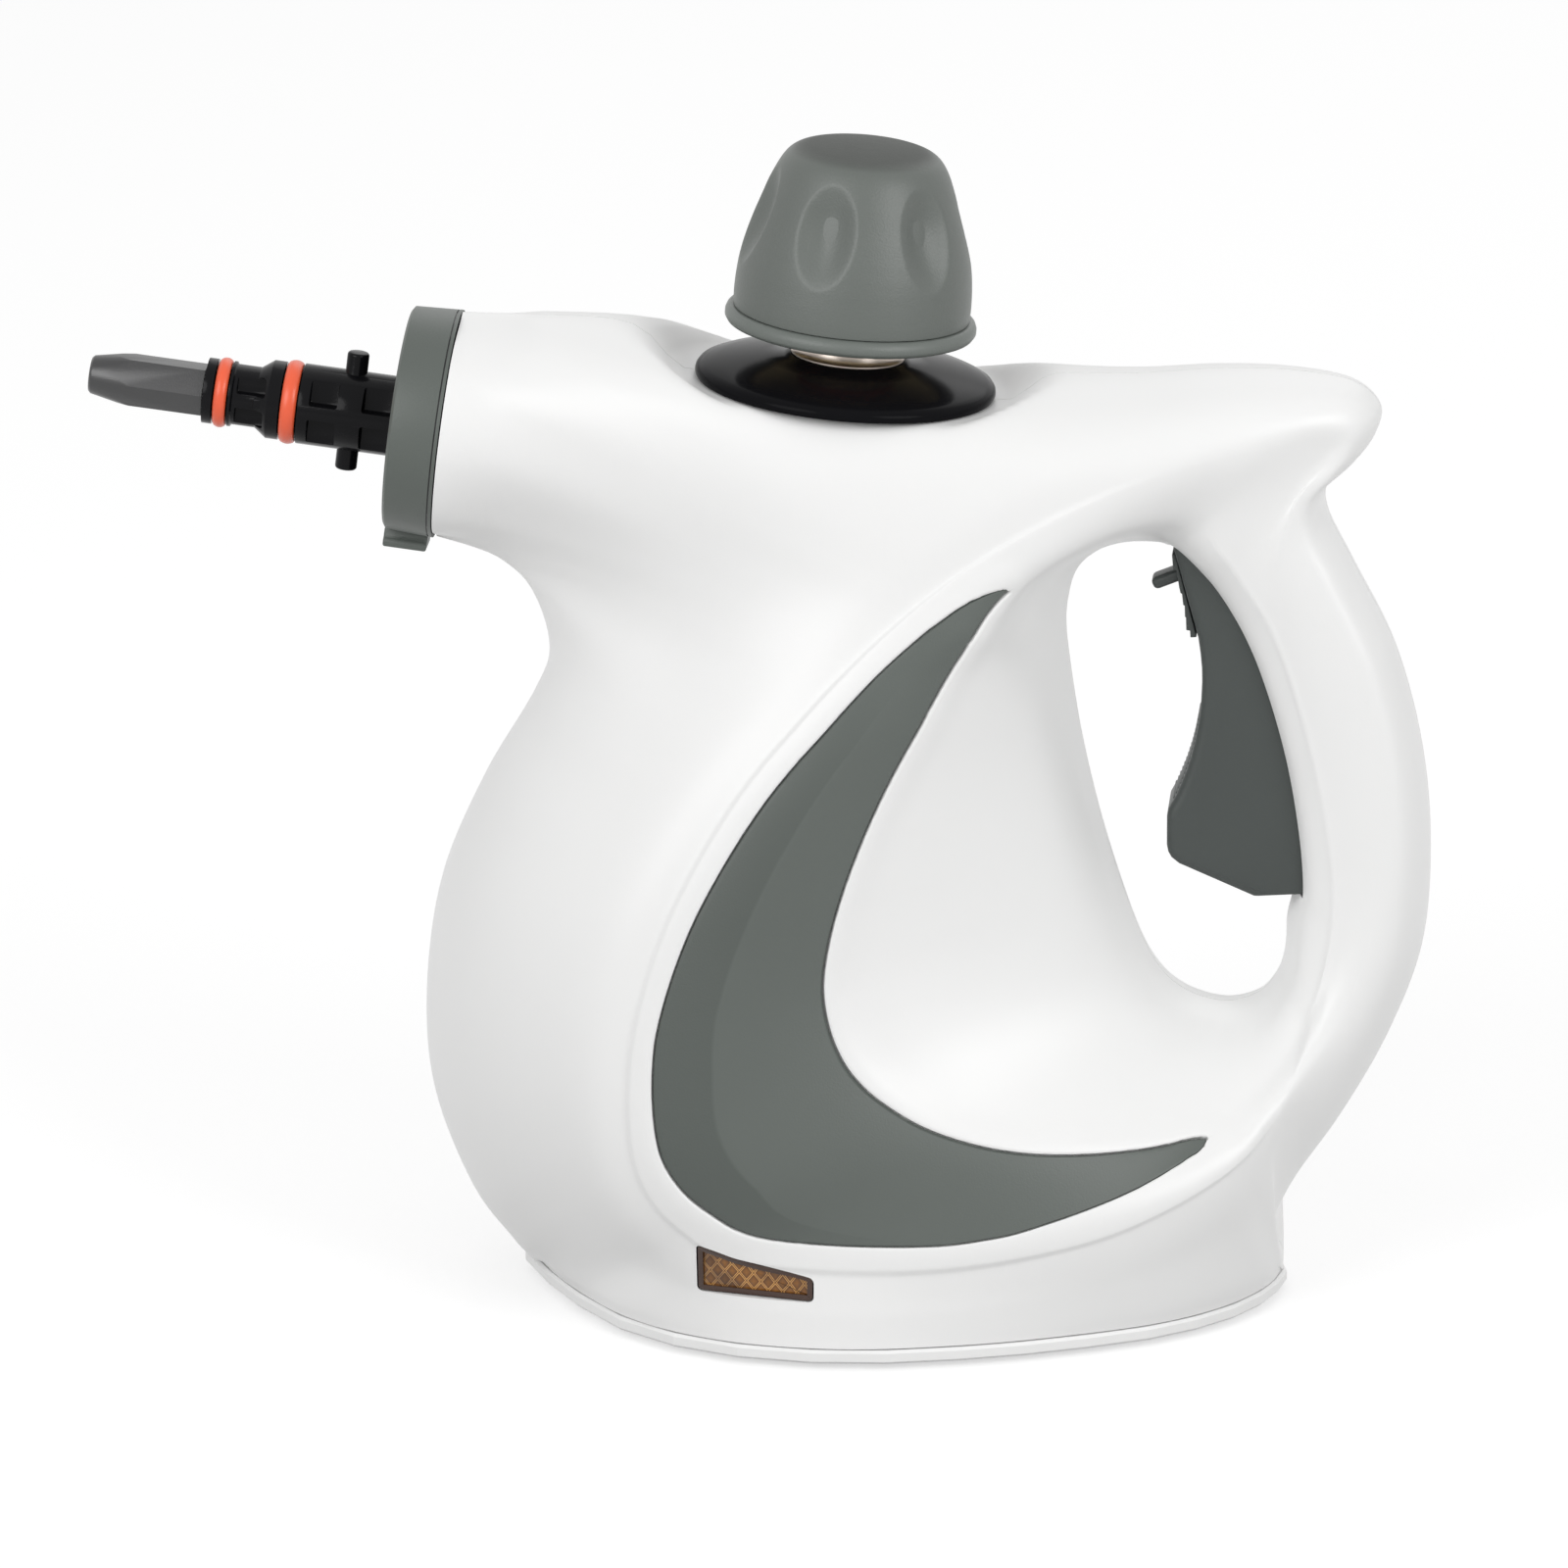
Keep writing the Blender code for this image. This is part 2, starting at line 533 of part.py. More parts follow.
def skin(rows, columns):
    """Points of the near half's surface; columns is an array of ring numbers, one line per column."""
    rings = body_rings(rows)
    ahead = rings[1] * MIRROR + rings[0] * (1 - MIRROR)
    in_plane = np.abs(rings[-1][:, 1:2]) < SEAM
    over = np.where(in_plane, rings[-2] * MIRROR, 2 * rings[-1] - rings[-2])
    rings = np.concatenate([ahead[None], rings, over[None]])
    columns = np.asarray(columns, float)
    if columns.ndim == 1:
        columns = np.repeat(columns[:, None], len(rows), axis=1)
    first = np.minimum(np.floor(columns).astype(int), len(rings) - 4)
    t = (columns - first)[..., None]
    every = np.arange(len(rows))
    a, b, c, d = (rings[first + step, every] for step in range(4))
    near, mid, far = (np.sqrt(np.linalg.norm(q - p, axis=-1, keepdims=True)) for p, q in ((a, b), (b, c), (c, d)))
    leave = ((b - a) / near * mid + (c - b) / mid * near) / (near + mid) * mid
    arrive = ((c - b) / mid * far + (d - c) / far * mid) / (mid + far) * mid
    points = (b * (2 * t**3 - 3 * t**2 + 1) + leave * (t**3 - 2 * t**2 + t)
              + c * (3 * t**2 - 2 * t**3) + arrive * (t**3 - t**2))
    return scooped(points)


def scooped(points):
    """Presses the seat of the filler disc into the top, with a soft lip round it."""
    offset = points - CAP_SEAT
    height = offset @ CAP_AXIS
    radius = np.linalg.norm(offset - height[..., None] * CAP_AXIS, axis=-1)
    past = radius - DISC_RADIUS
    rise = np.clip(past / SCOOP_BLEND, 0, 1)
    rise = rise * rise * (3 - 2 * rise)
    ceiling = SCOOP_LIP * rise - SEAT_DROP + SCOOP_SLOPE_SHARE * np.clip(past - SCOOP_FLAT, 0, None)
    lower = SCOOP_SOFTNESS * np.logaddexp(0, (height - ceiling) / SCOOP_SOFTNESS)
    lower = np.where(past < SCOOP_LIMIT, lower, 0)
    return points - lower[..., None] * CAP_AXIS


def outward(points):
    """Unit normals of a grid of surface points, pointing out of the body."""
    along = np.gradient(points, axis=1)
    over = np.gradient(points, axis=0)
    normal = np.cross(over, along)
    return normal / np.linalg.norm(normal, axis=-1, keepdims=True)


def level(normals, direction):
    """The normals pressed flat against a plane and made unit again."""
    flat = normals - (normals @ direction)[..., None] * direction
    return flat / np.linalg.norm(flat, axis=-1, keepdims=True)


def body_grids(rows):
    """The outer and inner surface points of the near half."""
    columns = np.arange(0, len(SHOULDERS) + 4 + 1 / COLUMN_STEPS, 1 / COLUMN_STEPS)
    wrapped = np.concatenate([rows[-1:] - ROWS, rows, rows[:1] + ROWS])
    outer = skin(wrapped, columns)
    normal = outward(outer)[:, 1:-1]
    outer = outer[:, 1:-1]
    first, last, base_first, base_last = CORNER_ROWS
    snout = (rows >= first) & (rows <= last)
    base = (rows >= base_first) & (rows <= base_last)
    rim = normal[-1].copy()
    rim[snout] = level(rim[snout], NOZZLE_ALONG)
    rim[base] = level(rim[base], np.array([0.0, 0.0, 1.0]))
    in_plane = ~(snout | base) | np.isin(rows, CORNER_ROWS)
    rim[in_plane] = level(rim[in_plane], NEAR)
    normal[-1] = rim
    normal[0] = level(normal[0], NEAR)
    inner = (outer - WALL * normal)[::COLUMN_STEPS]
    outer[..., 1] = np.minimum(outer[..., 1], -SEAM)
    inner[..., 1] = np.minimum(inner[..., 1], -SEAM)
    return outer, inner


def half_shell(name, side, outer, inner):
    """One half of the body, its inner surface joined to the outer one along both edges."""
    shape = bmesh.new()
    flip = np.array([1.0, side, 1.0])
    loops = [[shape.verts.new(point * flip) for point in loop] for loop in outer]
    loops += [[shape.verts.new(point * flip) for point in loop] for loop in inner[::-1]]
    grid_faces(shape, loops, closed=True)
    return finish(name, shape, WHITE)


rows_between = [np.arange(0, ROWS)]
for first, last, spacing in FINE_ROWS:
    rows_between.append(np.arange(first, last, spacing))
body_rows = np.unique(np.concatenate(rows_between))
outer_grid, inner_grid = body_grids(body_rows)
housing_left = half_shell("housing_left", 1, outer_grid, inner_grid)
housing_right = half_shell("housing_right", -1, outer_grid, inner_grid)

probe = bmesh.new()
grid_faces(probe, [[probe.verts.new(point) for point in row] for row in outer_grid], closed=False)
surface_tree = BVHTree.FromBMesh(probe)
probe.free()


def depth_at(x, z):
    """How far from the middle plane the body's outer surface is."""
    hit = surface_tree.ray_cast(Vector((x, -2 * HALF_WIDTH, z)), Vector((0.0, 1.0, 0.0)))[0]
    return -hit.y


# Side screws and the bosses that they hold together

def side_boss(name, side, x, z):
    """A boss from the seam to the wall, its outer end following the wall's slope."""
    shape = bmesh.new()
    turns = [math.tau * step / SMALL for step in range(SMALL)]
    places = [(x + BOSS_RADIUS * math.cos(turn), z + BOSS_RADIUS * math.sin(turn)) for turn in turns]
    inner_row = [shape.verts.new((px, side * SEAM, pz)) for px, pz in places]
    outer_row = [shape.verts.new((px, side * (depth_at(px, pz) - WALL / 2), pz)) for px, pz in places]
    inner_tip = [shape.verts.new((x, side * SEAM, z))]
    outer_tip = [shape.verts.new((x, side * (depth_at(x, z) - WALL / 2), z))]
    grid_faces(shape, [inner_tip, inner_row, outer_row, outer_tip], closed=False)
    return finish(name, shape, WHITE)


for side, housing in ((-1, housing_left), (1, housing_right)):
    bosses = []
    for number, shares in enumerate(SIDE_SCREW_SHARES):
        x, _, z = spot(shares)
        bosses.append(side_boss(f"boss_{number}", side, x, z))
    weld(housing, joined(f"bosses_{side}", bosses))

pilot_holes, screw_holes = [], []
for number, shares in enumerate(SIDE_SCREW_SHARES, start=1):
    x, _, z = spot(shares)
    face = depth_at(x, z)
    seat = face - POCKET_DEPTH
    hole = SCREW_RADIUS + CLEARANCE
    pocket = SCREW_HEAD_RADIUS + CLEARANCE
    pilot = ((0, -SCREW_GRIP - OVERRUN), (hole, -SCREW_GRIP - OVERRUN), (hole, OVERRUN), (0, OVERRUN))
    pilot_holes.append(crossways(f"pilot_{number}", pilot, WHITE, x, z))
    through = ((0, -OVERRUN), (hole, -OVERRUN), (hole, seat), (pocket, seat), (pocket, face + OVERRUN),
               (0, face + OVERRUN))
    screw_holes.append(crossways(f"through_{number}", through, WHITE, x, z))
    head = seat + CLEARANCE
    screw = ((0, -SCREW_GRIP), (SCREW_RADIUS, -SCREW_GRIP), (SCREW_RADIUS, head), (SCREW_HEAD_RADIUS, head),
             (SCREW_HEAD_RADIUS, head + SCREW_HEAD), (0, head + SCREW_HEAD))
    crossways(f"side_screw_{number}", screw, STEEL, x, z)


# Crescent trims, flush in recesses on both sides

def trim_patch(name, side, top, bottom, spread, look):
    """A patch of the body's skin between two depths, widened by a gap all round."""
    rows = np.linspace(TRIM_START, TRIM_END, TRIM_STEPS)
    reach = np.interp(rows, *zip(*TRIM_SHARES))
    rows[0] -= TRIM_END_GAP * spread / CLEARANCE
    rows[-1] += TRIM_END_GAP * spread / CLEARANCE
    rings = body_rings(rows)
    width = np.linalg.norm(rings[3] - rings[2], axis=1)
    near_edge = 2 + TRIM_INNER_SHARE - spread / width
    far_edge = 2 + reach + spread / width
    shares = np.linspace(0, 1, 4)[:, None]
    points = skin(rows, near_edge + (far_edge - near_edge) * shares)
    normal = outward(points)
    flip = np.array([1.0, side, 1.0])
    shape = bmesh.new()
    upper, lower = (
        [[shape.verts.new(point * flip) for point in row] for row in points + height * normal]
        for height in (top, bottom)
    )
    for sheet in (upper, lower):
        for row, after in zip(sheet, sheet[1:]):
            for a, b, c, d in zip(row, row[1:], after[1:], after):
                shape.faces.new((a, b, c, d))
    rims = [rim_of(sheet) for sheet in (upper, lower)]
    grid_faces(shape, rims, closed=False)
    return finish(name, shape, look)


def rim_of(sheet):
    """The vertices round the edge of a grid, in order."""
    right = [row[-1] for row in sheet[1:]]
    left = [row[0] for row in sheet[-2:0:-1]]
    return sheet[0] + right + sheet[-1][-2::-1] + left


for side, housing, word in ((1, housing_left, "left"), (-1, housing_right, "right")):
    trim_patch(f"trim_{word}", side, 0.0, -TRIM_THICK, 0.0, GREY)
    recess = trim_patch(f"recess_{word}", side, OVERRUN / 2, -TRIM_THICK - CLEARANCE, CLEARANCE, GREY)
    cut(housing, recess)

# Seat of the filler disc and hole for the neck
neck_hole = NECK_RADIUS + CLEARANCE
seat_hole = DISC_RADIUS + CLEARANCE
seat_profile = ((0, -SEAT_DROP - 2 * OVERRUN), (neck_hole, -SEAT_DROP - 2 * OVERRUN), (neck_hole, -SEAT_DROP),
                (seat_hole, -SEAT_DROP), (seat_hole, 2 * OVERRUN), (0, 2 * OVERRUN))
for housing in (housing_left, housing_right):
    cut(housing, turned(f"seat_in_{housing.name}", seat_profile, WHITE, CAP_SEAT, CAP_TILT))

# Slot of the trigger in the grip and the arm
slot_rows = np.linspace(*SLOT_ROWS, 14)
slot_edge = body_rings(slot_rows)[0]
middle = spot((sum(x for _, x, _, _ in OPENING_SHARES) / len(OPENING_SHARES),
               sum(z for _, _, _, z in OPENING_SHARES) / len(OPENING_SHARES)))
toward = middle - slot_edge
toward /= np.linalg.norm(toward, axis=1, keepdims=True)
slot_outline = [(x, z) for x, _, z in np.concatenate(
    [slot_edge + SLOT_FRONT * toward, (slot_edge - SLOT_BACK * toward)[::-1]])]
for housing in (housing_left, housing_right):
    cut(housing, prism(f"slot_in_{housing.name}", slot_outline, TRIGGER_HALF + CLEARANCE, WHITE))

# Inlet gland, low at the back
gland = spot(GLAND_SHARES)
gland_hole = GLAND_RADIUS + CLEARANCE
for housing in (housing_left, housing_right):
    hole_profile = ((0, -GLAND_LENGTH), (gland_hole, -GLAND_LENGTH), (gland_hole, OVERRUN), (0, OVERRUN))
    cut(housing, turned(f"gland_in_{housing.name}", hole_profile, WHITE, gland, math.pi / 2, FINE))
turned("inlet_gland",
       ((0, -GLAND_LENGTH), (GLAND_RADIUS, -GLAND_LENGTH), (GLAND_RADIUS, 0), (GLAND_RADIUS - GLAND_LIP, 0),
        (GLAND_RADIUS - GLAND_LIP, -GLAND_LIP), (0, -GLAND_LIP)),
       SATIN_BLACK, gland, math.pi / 2, FINE)

# Lamp window in the near side
window = [spot(shares) for shares in WINDOW_SHARES]
window_middle = sum(window) / len(window)


def window_prism(name, spread, front, back, look):
    """The window's outline, grown by a gap, between two distances in from the surface."""
    shape = bmesh.new()
    rows = []
    for depth in (front, back):
        row = []
        for corner in window:
            away = corner - window_middle
            x, _, z = corner + away / np.linalg.norm(away) * spread
            row.append(shape.verts.new((x, depth - depth_at(x, z), z)))
        rows.append(row)
    grid_faces(shape, rows, closed=False)
    for row in rows:
        shape.faces.new(row)
    bmesh.ops.triangulate(shape, faces=[face for face in shape.faces if len(face.verts) > 4])
    return finish(name, shape, look)


cut(housing_left, window_prism("window_hole", 2 * CLEARANCE, -OVERRUN, OVERRUN, WHITE))
cut(housing_left, joined("pilot_holes", pilot_holes))
cut(housing_right, joined("screw_holes", screw_holes))

# Grip shells, parted from the body's shells
split = [spot(shares) for shares in GRIP_SPLIT_SHARES]
for side, housing in (("left", housing_left), ("right", housing_right)):
    grip = housing.copy()
    grip.data = housing.data.copy()
    grip.name = f"grip_{side}"
    bpy.context.scene.collection.objects.link(grip)
    inside = prism(f"grip_in_{side}", [(x + CLEARANCE, z) for x, _, z in split], HALF_WIDTH + OVERRUN, WHITE)
    change(grip, inside, "INTERSECT")
    cut(housing, prism(f"grip_off_{side}", [(x, z) for x, _, z in split], HALF_WIDTH + OVERRUN, WHITE))

# Lamp behind the window
window_prism("lamp_lens", 0.0, 0.0, LENS_THICK, AMBER)
lens_corner = min(depth_at(corner[0], corner[2]) for corner in window)
lens_back = (lens_corner + depth_at(window_middle[0], window_middle[2])) / 2 - LENS_THICK
lamp_y = CLEARANCE + LAMP_RADIUS - lens_back
turned("lamp",
       ((0, -LAMP_LENGTH / 2), (LAMP_RADIUS, -LAMP_LENGTH / 2), (LAMP_RADIUS, LAMP_LENGTH / 2),
        (0, LAMP_LENGTH / 2)),
       ORANGE, (window_middle[0], lamp_y, window_middle[2]), math.pi / 2, SMALL)

# Base plate, feet and the screws that hold it to the boiler's cradle


def edge_loop(spread):
    """The body's lower edge seen from above, grown or shrunk by a spread."""
    rows = np.linspace(CORNER_ROWS[2], CORNER_ROWS[3], 17)
    near = body_rings(rows)[-1][:, :2]
    loop = np.concatenate([near, (near * MIRROR[:2])[-2:0:-1]])
    along = np.roll(loop, -1, axis=0) - np.roll(loop, 1, axis=0)
    away = np.column_stack([along[:, 1], -along[:, 0]])
    return loop + spread * away / np.linalg.norm(away, axis=1, keepdims=True)


plate_bottom = FOOT_PROUD
plate_top = BASE_EDGE - CLEARANCE
upstand = WALL + PLATE_GAP
plate_levels = (
    (PLATE_RIM - PLATE_EDGE, plate_bottom), (PLATE_RIM, plate_bottom + PLATE_EDGE),
    (PLATE_RIM, plate_top - PLATE_EDGE), (PLATE_RIM - PLATE_EDGE, plate_top), (-upstand, plate_top),
    (-upstand, plate_top + PLATE_UPSTAND), (-upstand - PLATE_UPSTAND_WALL, plate_top + PLATE_UPSTAND),
    (-upstand - PLATE_UPSTAND_WALL, plate_top),
)
shape = bmesh.new()
loops = [[shape.verts.new((*point, height)) for point in edge_loop(spread)] for spread, height in plate_levels]
grid_faces(shape, loops, closed=False)
for loop in (loops[0], loops[-1]):
    shape.faces.new(loop)
bmesh.ops.triangulate(shape, faces=[face for face in shape.faces if len(face.verts) > 4])
base_plate = finish("base_plate", shape, WHITE)

foot_pockets = []
pads = [(x, side * y) for x, y in FOOT_SHARES for side in (-1, 1)]
for number, (x_share, y_share) in enumerate(pads, start=1):
    x, y = x_share * REACH, y_share * HALF_WIDTH
    pocket_top = FOOT_PROUD + FOOT_SUNK + CLEARANCE
    foot_pockets.append(upright(f"pocket_{number}", FOOT_RADIUS + CLEARANCE, -OVERRUN, pocket_top, GREY, x, y))
    upright(f"foot_{number}", FOOT_RADIUS, 0.0, FOOT_PROUD + FOOT_SUNK, RUBBER, x, y)

# Boiler, heater and cradle under the filler neck, all on the cap's axis
boiler_bottom = -BOILER_DROP - BOILER_HEIGHT
turned("boiler",
       ((0, boiler_bottom), (BOILER_RADIUS - BOILER_EDGE, boiler_bottom),
        (BOILER_RADIUS, boiler_bottom + BOILER_EDGE), (BOILER_RADIUS, -BOILER_DROP - BOILER_EDGE),
        (BOILER_RADIUS - BOILER_EDGE, -BOILER_DROP), (neck_hole, -BOILER_DROP),
        (neck_hole, -BOILER_DROP - BOILER_WALL),
        (BOILER_RADIUS - BOILER_EDGE - BOILER_WALL / 2, -BOILER_DROP - BOILER_WALL),
        (BOILER_RADIUS - BOILER_WALL, -BOILER_DROP - BOILER_EDGE - BOILER_WALL / 2),
        (BOILER_RADIUS - BOILER_WALL, boiler_bottom + BOILER_EDGE + BOILER_WALL / 2),
        (BOILER_RADIUS - BOILER_EDGE - BOILER_WALL / 2, boiler_bottom + BOILER_WALL),
        (0, boiler_bottom + BOILER_WALL)),
       STEEL, CAP_SEAT, CAP_TILT)
neck_bottom = -BOILER_DROP - NECK_FOOT
neck_seat = -BOILER_DROP + CLEARANCE
turned("boiler_neck",
       ((NECK_BORE, neck_bottom), (NECK_RADIUS, neck_bottom), (NECK_RADIUS, neck_seat),
        (NECK_FLANGE, neck_seat), (NECK_FLANGE, neck_seat + NECK_FLANGE_THICK),
        (NECK_RADIUS, neck_seat + NECK_FLANGE_THICK), (NECK_RADIUS, NECK_TOP), (NECK_BORE, NECK_TOP)),
       BRASS, CAP_SEAT, CAP_TILT)
heater_top = boiler_bottom - CLEARANCE
heater_bottom = heater_top - HEATER_THICK
turned("heater_plate",
       ((0, heater_bottom), (HEATER_RADIUS - HEATER_SKIRT_THICK, heater_bottom),
        (HEATER_RADIUS - HEATER_SKIRT_THICK, heater_bottom - HEATER_SKIRT),
        (HEATER_RADIUS, heater_bottom - HEATER_SKIRT), (HEATER_RADIUS, heater_top), (0, heater_top)),
       ALUMINIUM, CAP_SEAT, CAP_TILT)
cradle_top = heater_bottom - HEATER_SKIRT - CLEARANCE
cradle = turned("boiler_cradle",
                ((CRADLE_BORE, cradle_top - CRADLE_THICK), (CRADLE_RADIUS, cradle_top - CRADLE_THICK),
                 (CRADLE_RADIUS, cradle_top), (CRADLE_BORE, cradle_top)),
                CREAM, CAP_SEAT, CAP_TILT)

cradle_middle = CAP_SEAT + (cradle_top - CRADLE_THICK / 2) * CAP_AXIS
posts, cradle_holes, plate_holes = [], [], []
for number in range(1, 5):
    angle = math.tau * (2 * number - 1) / 8
    x = cradle_middle[0] + POST_CIRCLE * math.cos(angle)
    y = POST_CIRCLE * math.sin(angle)
    top = cradle_middle[2] - (x - cradle_middle[0]) * math.tan(CAP_TILT)
    posts.append(upright(f"post_{number}", POST_RADIUS, plate_top + CLEARANCE, top, CREAM, x, y))
    hole = SCREW_RADIUS + CLEARANCE
    hole_top = plate_top + SCREW_GRIP + OVERRUN
    cradle_holes.append(upright(f"cradle_hole_{number}", hole, 0.0, hole_top, CREAM, x, y))
    sunk = plate_bottom + BASE_SCREW_HEAD + CLEARANCE
    head_hole = SCREW_HEAD_RADIUS + CLEARANCE
    sunk_profile = ((0, -OVERRUN), (head_hole, -OVERRUN), (head_hole, sunk), (hole, sunk), (hole, hole_top),
                    (0, hole_top))
    plate_holes.append(turned(f"plate_hole_{number}", sunk_profile, GREY, (x, y, 0.0), sides=SMALL))
    head_top = sunk - CLEARANCE
    screw_profile = ((0, plate_bottom), (SCREW_HEAD_RADIUS, plate_bottom), (SCREW_HEAD_RADIUS, head_top),
                     (SCREW_RADIUS, head_top), (SCREW_RADIUS, plate_top + SCREW_GRIP),
                     (0, plate_top + SCREW_GRIP))
    turned(f"base_screw_{number}", screw_profile, STEEL, (x, y, 0.0), sides=SMALL)
weld(cradle, joined("posts", posts))
cut(cradle, joined("cradle_holes", cradle_holes))
cut(base_plate, joined("plate_holes", plate_holes + foot_pockets))


def on_boiler(x, y, height):
    """A place over the boiler's top, in world space."""
    across = np.array([math.cos(CAP_TILT), 0.0, -math.sin(CAP_TILT)])
    return CAP_SEAT + x * across - y * NEAR + (height - BOILER_DROP) * CAP_AXIS


turned("thermostat",
       ((0, CLEARANCE), (THERMOSTAT_RADIUS, CLEARANCE), (THERMOSTAT_RADIUS, THERMOSTAT_HEIGHT),
        (0, THERMOSTAT_HEIGHT)),
       CREAM, on_boiler(0.0, FITTING_CIRCLE, 0.0), CAP_TILT, FINE)
turned("thermal_fuse",
       ((0, CLEARANCE), (FUSE_RADIUS, CLEARANCE), (FUSE_RADIUS, THERMOSTAT_HEIGHT), (0, THERMOSTAT_HEIGHT)),
       STEEL, on_boiler(-FITTING_CIRCLE, 0.0, 0.0), CAP_TILT, SMALL)

block_x = BLOCK_SHARE * REACH
shape = bmesh.new()
block = bmesh.ops.create_cube(shape, size=1.0)["verts"]
bmesh.ops.scale(shape, vec=(BLOCK_LENGTH, BLOCK_WIDTH, BLOCK_HEIGHT), verts=block)
finish("terminal_block", shape, CREAM, (block_x, 0.0, plate_top + CLEARANCE + BLOCK_HEIGHT / 2))

# Filler disc and cap
DISC_SWELL_SHARE = 0.6
disc_bore = NECK_RADIUS + CLEARANCE
turned("filler_disc",
       ((disc_bore, CLEARANCE - SEAT_DROP), (DISC_RADIUS, CLEARANCE - SEAT_DROP), (DISC_RADIUS, DISC_RIM / 4),
        (DISC_RADIUS - DISC_RIM, DISC_RIM), ((DISC_RADIUS + DISC_HUB) / 2, (DISC_RIM + DISC_CROWN) * DISC_SWELL_SHARE),
        (DISC_HUB, DISC_CROWN), (DISC_HUB, DISC_CROWN + HUB_STEP), (disc_bore, DISC_CROWN + HUB_STEP)),
       BLACK, CAP_SEAT, CAP_TILT)

rim_top = CAP_RIM_BOTTOM + CAP_RIM_HEIGHT
flange_radius = CAP_RIM_RADIUS - CAP_RIM_THICK - CLEARANCE
turned("cap_rim",
       ((CAP_RIM_RADIUS - CAP_RIM_THICK, CAP_RIM_BOTTOM), (CAP_RIM_RADIUS - CAP_EDGE, CAP_RIM_BOTTOM),
        (CAP_RIM_RADIUS, CAP_RIM_BOTTOM + CAP_EDGE), (CAP_RIM_RADIUS, rim_top - CAP_EDGE),
        (CAP_RIM_RADIUS - CAP_EDGE, rim_top), (CAP_RIM_RADIUS - CAP_RIM_THICK, rim_top)),
       GREY, CAP_SEAT, CAP_TILT, 36)

shell_bottom = rim_top + CLEARANCE
# The cap's side as (share of CAP_RADIUS, share of CAP_HEIGHT)
CAP_SIDE_SHARES = ((1.0, 0.0), (0.996, 0.16), (0.965, 0.34), (0.889, 0.54), (0.798, 0.745), (0.72, 0.87),
                   (0.655, 0.945), (0.56, 0.985), (0.33, 1.0))
DIMPLE_SPAN_SHARES = (0.08, 0.76)


def dimple(_, height, angle):
    """How deep the finger dimples are at a height and an angle round the cap."""
    up = (height - shell_bottom) / CAP_HEIGHT
    start, end = DIMPLE_SPAN_SHARES
    strength = math.sqrt(math.sin(math.pi * min(max((up - start) / (end - start), 0), 1)))
    return DIMPLE_DEPTH * strength * max(math.cos(DIMPLES * angle - math.pi / 2), 0)


cap_profile = [(CAP_RADIUS * across, shell_bottom + CAP_HEIGHT * up) for across, up in CAP_SIDE_SHARES]
cap_top = shell_bottom + CAP_HEIGHT
cap_inside = CAP_RADIUS - DIMPLE_DEPTH - CAP_WALL
cap_profile += [(0, cap_top), (0, cap_top - CAP_WALL), (CAP_SIDE_SHARES[-2][0] * cap_inside, cap_top - CAP_WALL),
                (CAP_SIDE_SHARES[4][0] * cap_inside, shell_bottom + CAP_SIDE_SHARES[4][1] * CAP_HEIGHT),
                (cap_inside, shell_bottom + CAP_SIDE_SHARES[2][1] * CAP_HEIGHT), (cap_inside, shell_bottom)]


def cap_dimples(radius, height, angle):
    """Only the outer wall is dimpled."""
    outside = radius > cap_inside or height > cap_top - CAP_WALL
    return dimple(radius, height, angle) if outside else 0.0


turned("cap_shell", cap_profile, GREY, CAP_SEAT, CAP_TILT, 36, cap_dimples)

plug_flange_bottom = rim_top - PLUG_FLANGE_THICK
thread_radius = NECK_BORE - CLEARANCE
plug_bottom = NECK_TOP - PLUG_DROP
ridges = int(PLUG_DROP / THREAD_PITCH)
plug_profile = [(0, plug_bottom), (thread_radius - THREAD_DEPTH, plug_bottom)]
for ridge in range(ridges):
    low = plug_bottom + (ridge + 0.5) * THREAD_PITCH
    plug_profile += [(thread_radius, low), (thread_radius - THREAD_DEPTH, low + THREAD_PITCH / 2)]
plug_profile += [(thread_radius - THREAD_DEPTH, plug_flange_bottom), (flange_radius, plug_flange_bottom),
                 (flange_radius, rim_top), (PLUG_POST_RADIUS, rim_top),
                 (PLUG_POST_RADIUS, rim_top + PLUG_POST_HEIGHT), (0, rim_top + PLUG_POST_HEIGHT)]
turned("cap_plug", plug_profile, BRASS, CAP_SEAT, CAP_TILT, FINE)
turned("cap_seal",
       ((NECK_BORE, NECK_TOP + CLEARANCE), (NECK_BORE + SEAL_WALL, NECK_TOP + CLEARANCE),
        (NECK_BORE + SEAL_WALL, plug_flange_bottom - CLEARANCE), (NECK_BORE, plug_flange_bottom - CLEARANCE)),
       ORANGE, CAP_SEAT, CAP_TILT, FINE)

# Collar ring, nozzle seat, nozzle, seals and tip, all on the nozzle's axis
turned("collar_ring",
       ((RING_BORE, RING_BACK), (RING_RADIUS - RING_EDGE, RING_BACK), (RING_RADIUS, RING_BACK + RING_EDGE),
        (RING_RADIUS, RING_FRONT - RING_EDGE), (RING_RADIUS - RING_EDGE, RING_FRONT),
        (RING_BORE + RING_EDGE, RING_FRONT), (RING_BORE, RING_FRONT - RING_EDGE)),
       GREY, COLLAR, NOZZLE_TURN)
hub = RING_BORE - CLEARANCE
tube_hole = TUBE_RADIUS + CLEARANCE
seat_lip = RING_BACK - CLEARANCE
turned("nozzle_seat",
       ((tube_hole, CLEARANCE), (SEAT_RADIUS, CLEARANCE), (SEAT_RADIUS, seat_lip), (hub, seat_lip),
        (hub, SEAT_FRONT), (tube_hole, SEAT_FRONT)),
       SATIN_BLACK, COLLAR, NOZZLE_TURN)


